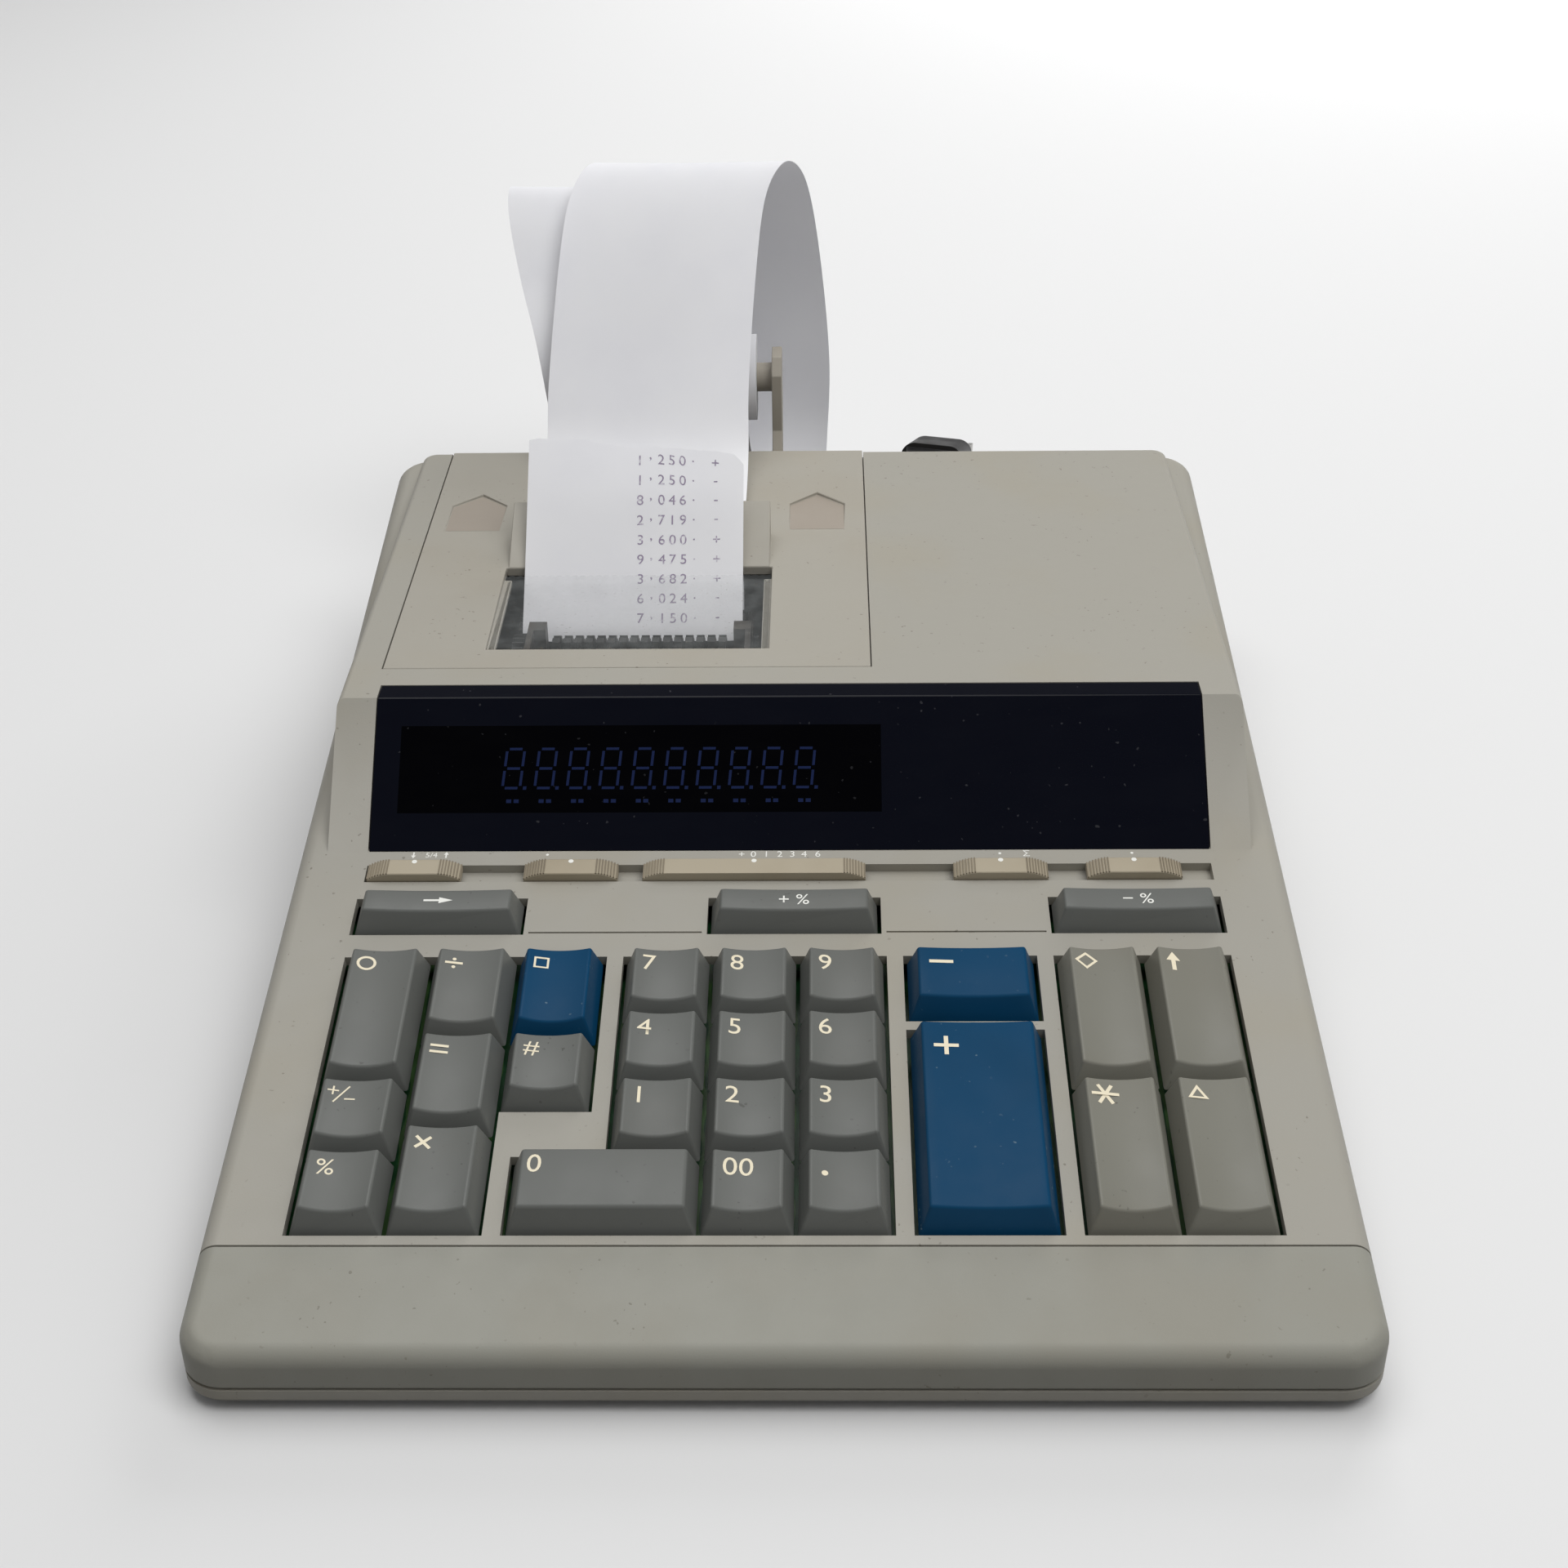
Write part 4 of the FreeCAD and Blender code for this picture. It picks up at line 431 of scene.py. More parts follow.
@dataclass(frozen=True)
class Rubber:
    """Matt black rubber or soft vinyl with a dusty bloom.

    Attributes:
        name: Material name.
        colour: Colour of the clean rubber.
        bloom: Colour of the bloom.
        roughness: Mean roughness.
    """

    name: str
    colour: Colour
    bloom: Colour
    roughness: float = 0.55

    def material(self) -> bpy.types.Material:
        """Builds the material.

        Returns:
            The finished material.
        """
        bench = Surface(self.name)
        clouds = bench.window(bench.noise(12 * MM, detail=4.0), low=0.4, high=0.8)
        colour = bench.mix(clouds * 0.4, self.colour, self.bloom)
        skin = bench.noise(0.5 * MM, detail=3.0)
        roughness = clouds * 0.2 + skin * 0.1 + (self.roughness - 0.1)
        return bench.finish(Base_Color=colour, Roughness=roughness, Normal=bench.bump(skin, 0.03 * MM))


@dataclass(frozen=True)
class PaperStock:
    """Thin uncoated paper with a fibre grain, faint shade where it has curled, and light coming through it.

    Attributes:
        name: Material name.
        colour: Colour of the fresh paper.
        shade: Colour of the shaded patches.
        glow: Share of the light that comes through.
    """

    name: str
    colour: Colour
    shade: Colour
    glow: float = 0.3

    def material(self) -> bpy.types.Material:
        """Builds the material.

        Returns:
            The finished material.
        """
        bench = Surface(self.name)
        clouds = bench.window(bench.noise(18 * MM, detail=3.0), low=0.3, high=0.75)
        colour = bench.mix(clouds * 0.5, self.colour, self.shade)
        fibre = bench.noise(0.35 * MM, detail=3.0, spot=bench.place((1.0, 0.35, 0.35)))
        sockets = {
            "Base Color": colour, "Roughness": fibre * 0.1 + 0.8, "Normal": bench.bump(fibre, 0.012 * MM),
        }
        face = bench.add("ShaderNodeBsdfPrincipled", {}, sockets)
        through = bench.add("ShaderNodeBsdfTranslucent", {}, {"Color": self.colour})
        return bench.close(bench.add("ShaderNodeMixShader", {}, {0: self.glow, 1: face, 2: through}))


@dataclass(frozen=True)
class Ink:
    """Print or moulded-in figures, worn through where the wear is above nought.

    Attributes:
        name: Material name.
        colour: Colour of the ink.
        ground: Colour that it wears to.
        wear: How much of it is worn, from nought to one.
        roughness: Mean roughness.
        gloss: Specular level of the ink.
    """

    name: str
    colour: Colour
    ground: Colour
    wear: float = 0.0
    roughness: float = 0.5
    gloss: float = 0.5

    def material(self) -> bpy.types.Material:
        """Builds the material.

        Returns:
            The finished material.
        """
        bench = Surface(self.name)
        specks = bench.noise(1.2 * MM, detail=3.0)
        worn = bench.window(specks, low=0.62 - self.wear * 0.4, high=0.82 - self.wear * 0.3)
        colour = bench.mix(worn, self.colour, self.ground)
        fine = bench.noise(0.3 * MM, detail=2.0)
        roughness = fine * 0.1 + (self.roughness - 0.05)
        return bench.finish(Base_Color=colour, Roughness=roughness, Specular_IOR_Level=self.gloss)


@dataclass(frozen=True)
class Metal:
    """Plain, plated or painted metal with fine lines along its working direction.

    Attributes:
        name: Material name.
        colour: Colour of the bright metal.
        tarnish: Colour of the dull spots.
        roughness: Mean roughness.
        metallic: How far it is bare metal.
        lines: Stretch of the lines along the three axes.
    """

    name: str
    colour: Colour
    tarnish: Colour
    roughness: float = 0.35
    metallic: float = 1.0
    lines: tuple[float, float, float] = (0.1, 1.0, 1.0)

    def material(self) -> bpy.types.Material:
        """Builds the material.

        Returns:
            The finished material.
        """
        bench = Surface(self.name)
        spots = bench.window(bench.noise(7 * MM, detail=4.0), low=0.45, high=0.75)
        colour = bench.mix(spots * 0.6, self.colour, self.tarnish)
        brushed = bench.noise(0.25 * MM, detail=2.0, spot=bench.place(self.lines))
        roughness = brushed * 0.15 + spots * 0.15 + (self.roughness - 0.1)
        normal = bench.bump(brushed, 0.006 * MM)
        return bench.finish(Base_Color=colour, Roughness=roughness, Normal=normal, Metallic=self.metallic)


@dataclass(frozen=True)
class CircuitBoard:
    """Green lacquered board with pale tracks under the lacquer.

    Attributes:
        name: Material name.
        lacquer: Colour of the lacquer.
        track: Colour of the tracks.
    """

    name: str
    lacquer: Colour
    track: Colour

    def material(self) -> bpy.types.Material:
        """Builds the material.

        Returns:
            The finished material.
        """
        bench = Surface(self.name)
        settings = {"wave_type": "BANDS", "bands_direction": "X"}
        bends = {"Vector": bench.place(), "Scale": 120.0, "Distortion": 3.0, "Detail": 0.0}
        tracks = bench.add("ShaderNodeTexWave", settings, bends) > 0.72
        colour = bench.mix(tracks * 0.6, self.lacquer, self.track)
        return bench.finish(Base_Color=colour, Roughness=0.35, Normal=bench.bump(tracks, 0.03 * MM))


@dataclass(frozen=True)
class Laminations:
    """Stacked iron sheets of a transformer core, varnished.

    Attributes:
        name: Material name.
        iron: Colour of the sheets.
        varnish: Colour of the varnish.
        sheet: Thickness of a sheet, in metres.
    """

    name: str
    iron: Colour
    varnish: Colour
    sheet: float = 0.5 * MM

    def material(self) -> bpy.types.Material:
        """Builds the material.

        Returns:
            The finished material.
        """
        bench = Surface(self.name)
        settings = {"wave_type": "BANDS", "bands_direction": "Y"}
        bands = {"Vector": bench.place(), "Scale": 0.05 / self.sheet, "Distortion": 0.2}
        edges = bench.add("ShaderNodeTexWave", settings, bands)
        stains = bench.window(bench.noise(8 * MM, detail=4.0), low=0.4, high=0.7)
        colour = bench.mix(stains, self.iron, self.varnish)
        roughness = stains * 0.2 + 0.35
        return bench.finish(Base_Color=colour, Roughness=roughness, Normal=bench.bump(edges, 0.06 * MM), Metallic=0.6)


CASE_COLOUR = srgb(160, 157, 148)
CREAM = srgb(232, 222, 196)
GREY_KEY = srgb(102, 104, 101)
WARM_KEY = srgb(123, 122, 113)
BLUE_KEY = srgb(6, 62, 96)
PAPER_COLOUR = srgb(250, 250, 252)
DUST = srgb(140, 132, 118)
GRIME = srgb(96, 90, 78)
FINE_GRAIN = 0.2 * MM


class Finish(Enum):
    """Every finish on the machine; each member's material is made once, when it is first asked for."""

    CASE = MouldedPlastic("case plastic", CASE_COLOUR, srgb(160, 153, 136), GRIME, patch=0.35)
    # The palm rest is the case plastic made darker: painted shade for the weaker light at the front of the machine
    PALM = MouldedPlastic("palm rest plastic painted shade", srgb(148, 147, 138), srgb(144, 139, 126), GRIME, patch=0.35)
    COVER = MouldedPlastic(
        "printer cover plastic", srgb(163, 159, 149), srgb(158, 150, 135), srgb(104, 96, 84), patch=0.35,
    )
    PAD = MouldedPlastic(
        "finger pad plastic", srgb(158, 149, 138), srgb(152, 142, 130), grain=FINE_GRAIN, depth=0.008 * MM,
    )
    KNOB = MouldedPlastic(
        "selector plastic", srgb(172, 162, 142), srgb(150, 138, 116), grain=FINE_GRAIN, depth=0.006 * MM,
    )
    # The ribs are the knob's own plastic made darker: painted shade for the grooves between them
    RIBS = MouldedPlastic(
        "selector ribs painted shade", srgb(132, 122, 104), srgb(104, 94, 78), grain=FINE_GRAIN, depth=0.006 * MM,
    )
    ARM = MouldedPlastic("paper arm plastic", srgb(160, 154, 143), srgb(146, 138, 124), GRIME)
    GREY_KEYS = MouldedPlastic(
        "grey key plastic", GREY_KEY, srgb(100, 101, 97), srgb(60, 58, 54), depth=0.008 * MM, roughness=0.42,
    )
    WARM_KEYS = MouldedPlastic(
        "warm grey key plastic", WARM_KEY, srgb(118, 115, 104), srgb(62, 58, 52), depth=0.008 * MM, roughness=0.42,
    )
    BLUE_KEYS = MouldedPlastic(
        "blue key plastic", BLUE_KEY, srgb(6, 56, 86), srgb(120, 140, 150), depth=0.006 * MM, gloss=0.2,
    )
    BLACK = MouldedPlastic("black plastic", srgb(32, 32, 32), srgb(46, 44, 40), DUST, depth=0.01 * MM)
    LENS = GlossPanel("display lens", srgb(5, 7, 18), srgb(110, 110, 114))
    PANE = GlossPanel("display pane", srgb(1, 1, 3), srgb(90, 90, 94), gloss=0.05)
    TUBE = GlossPanel("display tube glass", srgb(18, 24, 28), srgb(90, 90, 90), roughness=0.06, gloss=0.5)
    WINDOW = ClearPanel("clear tear window", srgb(196, 200, 200), srgb(150, 140, 124), haze=0.06)
    RUBBER = Rubber("black rubber", srgb(26, 26, 26), srgb(58, 55, 50))
    VINYL = Rubber("cord vinyl", srgb(24, 24, 25), srgb(44, 43, 42), roughness=0.42)
    TIE = Rubber("tie vinyl", srgb(30, 30, 32), srgb(50, 49, 48), roughness=0.5)
    SPONGE = Rubber("inked felt", srgb(34, 20, 46), srgb(58, 40, 70), roughness=0.9)
    PAPER = PaperStock("till roll paper", PAPER_COLOUR, srgb(242, 242, 246))
    PRINT = Ink("printed figures", srgb(146, 134, 156), srgb(218, 214, 223), wear=0.35, roughness=0.8)
    LEGEND = Ink("moulded legends", CREAM, srgb(206, 194, 166))
    LEGEND_WHITE = Ink("white legends", srgb(236, 236, 230), srgb(210, 208, 200))
    DIGIT = Ink("unlit display segments", srgb(26, 36, 70), srgb(18, 26, 54), roughness=0.4, gloss=0.05)
    STEEL = Metal("plated steel", srgb(188, 188, 184), srgb(150, 144, 134))
    DARK_STEEL = Metal("dark printer steel", srgb(66, 62, 58), srgb(92, 82, 70), roughness=0.5, metallic=0.6)
    BRASS = Metal("brass", srgb(196, 164, 92), srgb(150, 118, 60), roughness=0.32)
    BOARD = CircuitBoard("circuit board", srgb(36, 84, 48), srgb(92, 128, 70))
    CORE = Laminations("transformer core", srgb(98, 94, 88), srgb(70, 58, 44))

    @property
    def made(self) -> bpy.types.Material:
        """Material of this finish."""
        found = bpy.data.materials.get(self.value.name)
        return found or self.value.material()


SLOTS = {
    Finish.CASE: "case_plastic", Finish.PALM: "case_plastic", Finish.COVER: "case_plastic", Finish.PAD: "case_plastic",
    Finish.ARM: "case_plastic", Finish.KNOB: "selector_plastic", Finish.RIBS: "selector_plastic",
    Finish.GREY_KEYS: "grey_keys", Finish.WARM_KEYS: "warm_keys", Finish.BLUE_KEYS: "blue_keys",
    Finish.LENS: "dark_lens", Finish.PANE: "dark_lens", Finish.DIGIT: "dark_lens", Finish.PAPER: "paper",
    Finish.PRINT: "ink_sponge", Finish.VINYL: "black_rubber", Finish.TIE: "black_rubber",
    Finish.RUBBER: "black_rubber", Finish.STEEL: "screw_steel",
}


def into_scene(name: str, data: bpy.types.ID) -> bpy.types.Object:
    """Puts a mesh, text, curve, lamp or camera into the scene.

    Args:
        name: Name of the object.
        data: What it shows.

    Returns:
        The object.
    """
    thing = bpy.data.objects.new(name, data)
    bpy.context.scene.collection.objects.link(thing)
    return thing


def link(name: str, mesh: bpy.types.Mesh, body: "str | None", *finishes: Finish) -> bpy.types.Object:
    """Puts a finished mesh into the scene on a body.

    Args:
        name: Name of the piece.
        mesh: Its mesh, in the frame's metres.
        body: Body that it rides on, or None for a piece that bends between two.
        finishes: Its finishes, in slot order, unless the mesh has its materials.

    Returns:
        The piece.
    """
    piece = into_scene(name, mesh)
    if not mesh.materials:
        for finish in finishes:
            mesh.materials.append(finish.made)
    finishes[0] in SLOTS
    if body:
        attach(piece, body)
    LOG.info("%s: %d faces on %s", name, len(mesh.polygons), body or "two bodies")
    return piece


def plain_mesh(piece: bpy.types.Object) -> bpy.types.Mesh:
    """Turns an object with live modifiers, text or a curve into a plain mesh and removes the object.

    Args:
        piece: The object.

    Returns:
        The mesh, under the object's name.
    """
    graph = bpy.context.evaluated_depsgraph_get()
    mesh = bpy.data.meshes.new_from_object(piece.evaluated_get(graph))
    mesh.name = piece.name
    bpy.data.objects.remove(piece)
    return mesh


def merged_copy(node: str) -> bmesh.types.BMesh:
    """Copies the mesh of a CAD node, with its loose triangles merged into whole faces.

    Args:
        node: Name of the node.

    Returns:
        The copy.
    """
    copy = bmesh.new()
    copy.from_mesh(frame["nodes"][node].data)
    bmesh.ops.remove_doubles(copy, verts=copy.verts, dist=MERGE)
    bmesh.ops.dissolve_limit(copy, angle_limit=FLAT, verts=copy.verts, edges=copy.edges)
    return copy


def mesh_of(name: str, shape: bmesh.types.BMesh) -> bpy.types.Mesh:
    """Turns a shape that is ready into a mesh.

    Args:
        name: Name of the mesh.
        shape: The shape, which is used up.

    Returns:
        The mesh.
    """
    mesh = bpy.data.meshes.new(name)
    shape.to_mesh(mesh)
    shape.free()
    return mesh


def smooth(mesh: bpy.types.Mesh, angle: float = 30.0) -> bpy.types.Mesh:
    """Shades a mesh smooth.

    Args:
        mesh: The mesh.
        angle: Angle in degrees past which an edge stays sharp.

    Returns:
        The same mesh.
    """
    mesh.polygons.foreach_set("use_smooth", [True] * len(mesh.polygons))
    mesh.set_sharp_from_angle(angle=math.radians(angle))
    return mesh


class Glyphs:
    """Flat drawings of signs and figures, as outlines in a plane one unit high."""

    @staticmethod
    def figures(text: str) -> bmesh.types.BMesh:
        """Draws a line of figures or signs with the built-in typeface.

        Args:
            text: The figures.

        Returns:
            The drawing, about its own middle.
        """
        curve = bpy.data.curves.new("figures", "FONT")
        curve.body = text
        curve.align_x = "CENTER"
        curve.align_y = "CENTER"
        curve.resolution_u = 4
        drawn = bmesh.new()
        drawn.from_mesh(plain_mesh(into_scene("figures", curve)))
        spans = [
            [min(v.co[axis] for v in drawn.verts), max(v.co[axis] for v in drawn.verts)] for axis in (0, 1)
        ]
        bmesh.ops.translate(drawn, verts=drawn.verts, vec=[-sum(ends) / 2 for ends in spans] + [0.0])
        return drawn

    @staticmethod
    def polygons(shapes: Iterable[Sequence[tuple[float, float]]]) -> bmesh.types.BMesh:
        """Draws filled polygons.

        Args:
            shapes: Corners of each polygon.

        Returns:
            The drawing.
        """
        drawn = bmesh.new()
        for shape in shapes:
            drawn.faces.new([drawn.verts.new((x, y, 0)) for x, y in shape])
        return drawn

    @staticmethod
    def strokes(lines: Iterable[Sequence[tuple[float, float]]], width: float) -> bmesh.types.BMesh:
        """Draws straight strokes.

        Args:
            lines: Both ends of each stroke.
            width: Width of the strokes.

        Returns:
            The drawing.
        """
        shapes = []
        for (x1, y1), (x2, y2) in lines:
            along = Vector((x2 - x1, y2 - y1)).normalized() * (width / 2)
            side = Vector((-along.y, along.x))
            ends = Vector((x1, y1)) - along, Vector((x2, y2)) + along
            shapes.append([ends[0] - side, ends[1] - side, ends[1] + side, ends[0] + side])
        return Glyphs.polygons(shapes)

    @staticmethod
    def ring(corners: int, outer: float, inner: float, turn: float = 0.0) -> bmesh.types.BMesh:
        """Draws a hollow polygon.

        Args:
            corners: Number of its corners.
            outer: Distance of the outer corners from the middle.
            inner: Distance of the inner corners from the middle.
            turn: Direction of the first corner, in radians.

        Returns:
            The drawing.
        """
        drawn = bmesh.new()
        loops = []
        for radius in (outer, inner):
            angles = [turn + 2 * math.pi * index / corners for index in range(corners)]
            loops.append([drawn.verts.new((radius * math.cos(a), radius * math.sin(a), 0)) for a in angles])
        for index in range(corners):
            after = (index + 1) % corners
            drawn.faces.new((loops[0][index], loops[0][after], loops[1][after], loops[1][index]))
        return drawn


STROKE = 0.13
FINE_STROKE = 0.08
PLUS_MINUS_LINES = [
    ((-0.62, 0.22), (-0.18, 0.22)), ((-0.4, 0.0), (-0.4, 0.44)),
    ((-0.3, -0.45), (0.3, 0.5)), ((0.2, -0.25), (0.62, -0.25)),
]
ARROW = [(-0.08, -0.45), (0.08, -0.45), (0.08, 0.05), (0.26, 0.05), (0, 0.5), (-0.26, 0.05), (-0.08, 0.05)]


class Sign(Enum):
    """Generic signs on the keys that have no figure."""

    ARROW_UP = "up"
    ARROW_RIGHT = "right"
    DIAMOND = "diamond"
    STAR = "star"
    TRIANGLE = "triangle"
    RING = "ring"
    SQUARE = "square"
    PLUS_MINUS = "plus minus"

    def drawn(self) -> bmesh.types.BMesh:
        """Draws the sign.

        Returns:
            The drawing.
        """
        spokes = [math.radians(angle) for angle in (0, 60, 120)]
        arms = [(0.42 * math.cos(a), 0.42 * math.sin(a)) for a in spokes]
        plans: dict[Sign, Callable[[], bmesh.types.BMesh]] = {
            Sign.ARROW_UP: lambda: Glyphs.polygons([ARROW]),
            Sign.ARROW_RIGHT: lambda: Glyphs.polygons([[(y * 1.5, -x * 0.8) for x, y in ARROW]]),
            Sign.DIAMOND: lambda: Glyphs.ring(4, outer=0.5, inner=0.34),
            Sign.STAR: lambda: Glyphs.strokes([((-x, -y), (x, y)) for x, y in arms], STROKE),
            Sign.TRIANGLE: lambda: Glyphs.ring(3, outer=0.5, inner=0.28, turn=math.pi / 2),
            Sign.RING: lambda: Glyphs.ring(24, outer=0.42, inner=0.3),
            Sign.SQUARE: lambda: Glyphs.ring(4, outer=0.5, inner=0.36, turn=math.pi / 4),
            Sign.PLUS_MINUS: lambda: Glyphs.strokes(PLUS_MINUS_LINES, FINE_STROKE),
        }
        return plans[self]()


@dataclass
class Keycap:
    """A keycap: the CAD cap with rounded edges, and its legend moulded into the top.

    Attributes:
        node: CAD node and body of the key.
        legend: Figures or a sign.
        finish: Plastic of the cap.
        ink: Plastic of the legend.
        height: Height of the legend, in millimetres.
        corner: Place of the legend from the top's far left corner in millimetres, or None for the middle.
        rounding: Radius of the rounded edges, in metres.
        sharp: Angle past which an edge is rounded, in radians.
        rim: Depth under the top where the rounding ends, in metres.
        crown: Depth of the top's hollow, in metres.
        downward: Share of the deck's normal below which a face looks down.
    """

    node: str
    legend: "str | Sign"
    finish: Finish
    ink: Finish = Finish.LEGEND
    height: float = 6.4
    corner: "tuple[float, float] | None" = (3.4, 4.3)
    rounding: float = 0.55 * MM
    sharp: float = math.radians(20)
    rim: float = 6.0 * MM
    crown: float = 1.4 * MM
    downward: float = -0.05

    def build(self) -> bpy.types.Object:
        """Builds the cap, draws its legend and lets both stand for the CAD node.

        Returns:
            The piece.
        """
        cap = merged_copy(self.node)
        top = max(v.co.dot(DECK_NORMAL) for v in cap.verts)
        self._round(cap, top)
        self._mark(cap, top)
        name = self.node + "_cap"
        piece = link(name, smooth(mesh_of(name, cap)), self.node, self.finish, self.ink)
        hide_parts(self.node)
        return piece

    def _round(self, cap: bmesh.types.BMesh, top: float) -> None:
        """Rounds the outer edges of the cap, down to a little above its rim.

        Args:
            cap: The cap.
            top: Height of its top along the deck's normal, in metres.
        """
        rim = top - self.rim
        edges = [
            edge for edge in cap.edges
            if len(edge.link_faces) == 2 and edge.is_convex and edge.calc_face_angle() > self.sharp
            and max(v.co.dot(DECK_NORMAL) for v in edge.verts) > rim
            and max(face.normal.dot(DECK_NORMAL) for face in edge.link_faces) > self.downward
        ]
        bmesh.ops.bevel(
            cap, geom=edges, offset=self.rounding, segments=3, profile=0.5, affect="EDGES", clamp_overlap=True,
        )

    def _mark(self, cap: bmesh.types.BMesh, top: float) -> None:
        """Lays the legend on the top of the cap.

        Args:
            cap: The cap.
            top: Height of its top along the deck's normal, in metres.
        """
        tree = BVHTree.FromBMesh(cap)
        face = [v.co for v in cap.verts if v.co.dot(DECK_NORMAL) > top - self.crown]
        left, right = min(p.x for p in face), max(p.x for p in face)
        near, far = min(p.dot(DECK_UP) for p in face), max(p.dot(DECK_UP) for p in face)
        x, v = (left + right) / 2, (near + far) / 2
        if self.corner:
            x, v = left + self.corner[0] * MM, far - self.corner[1] * MM
        drawn = self.legend.drawn() if isinstance(self.legend, Sign) else Glyphs.figures(self.legend)
        laid: dict[bmesh.types.BMVert, bmesh.types.BMVert] = {}
        over_top = DECK_NORMAL * (top + 5 * MM)
        for flat in drawn.verts:
            start = Vector((x + flat.co.x * self.height * MM, 0, 0)) + DECK_UP * (v + flat.co.y * self.height * MM)
            hit = tree.ray_cast(start + over_top, -DECK_NORMAL)[0]
            laid[flat] = cap.verts.new((hit or start + DECK_NORMAL * top) + DECK_NORMAL * (PRINT_LIFT * MM))
        for flat in drawn.faces:
            mark = cap.faces.new([laid[vert] for vert in flat.verts])
            mark.material_index = 1
            mark.normal_update()
            if mark.normal.dot(DECK_NORMAL) < 0:
                mark.normal_flip()
        drawn.free()


WIDE_HEIGHT = 4.6
KEYCAPS = [
    Keycap("key_percent", "%", Finish.GREY_KEYS, height=5.6, corner=(3.8, 4.2)),
    Keycap("key_sign", Sign.PLUS_MINUS, Finish.GREY_KEYS, height=4.4, corner=(4.0, 4.2)),
    Keycap("key_clear_all", Sign.RING, Finish.GREY_KEYS, height=5.0),
    Keycap("key_multiply", "×", Finish.GREY_KEYS, height=8.0),
    Keycap("key_equals", "=", Finish.GREY_KEYS, height=8.0),
    Keycap("key_divide", "÷", Finish.GREY_KEYS, height=8.0),
    Keycap("key_item_count", "#", Finish.GREY_KEYS, height=5.6, corner=(3.6, 4.2)),
    Keycap("key_clear_entry", Sign.SQUARE, Finish.BLUE_KEYS, height=4.6),
    Keycap("key_00", "00", Finish.GREY_KEYS, corner=(5.1, 4.2)),
    Keycap("key_point", "·", Finish.GREY_KEYS, height=11.0, corner=(3.2, 6.0)),
    Keycap("key_0", "0", Finish.GREY_KEYS, corner=(2.9, 3.9)),
    *[Keycap("key_%d" % figure, str(figure), Finish.GREY_KEYS) for figure in range(1, 10)],
    Keycap("key_plus", "+", Finish.BLUE_KEYS, height=11.0, corner=(5.1, 7.0)),
    Keycap("key_minus", "−", Finish.BLUE_KEYS, height=11.0, corner=(5.1, 4.6)),
    Keycap("key_total", Sign.STAR, Finish.WARM_KEYS, height=5.8, corner=(3.9, 4.4)),
    Keycap("key_no_add", Sign.TRIANGLE, Finish.WARM_KEYS, height=5.0, corner=(3.6, 4.4)),
    Keycap("key_subtotal", Sign.DIAMOND, Finish.WARM_KEYS, height=5.0, corner=(3.5, 4.0)),
    Keycap("key_paper_feed", Sign.ARROW_UP, Finish.WARM_KEYS, height=5.8, corner=(3.2, 4.4)),
    Keycap("key_shift_right", Sign.ARROW_RIGHT, Finish.GREY_KEYS, Finish.LEGEND_WHITE, WIDE_HEIGHT, None),
    Keycap("key_markup", "+ %", Finish.GREY_KEYS, Finish.LEGEND_WHITE, WIDE_HEIGHT, None),
    Keycap("key_change", "− %", Finish.GREY_KEYS, Finish.LEGEND_WHITE, WIDE_HEIGHT, None),
]


def ease(share: float) -> float:
    """Rises smoothly from nought to one."""
    return share * share * (3 - 2 * share)


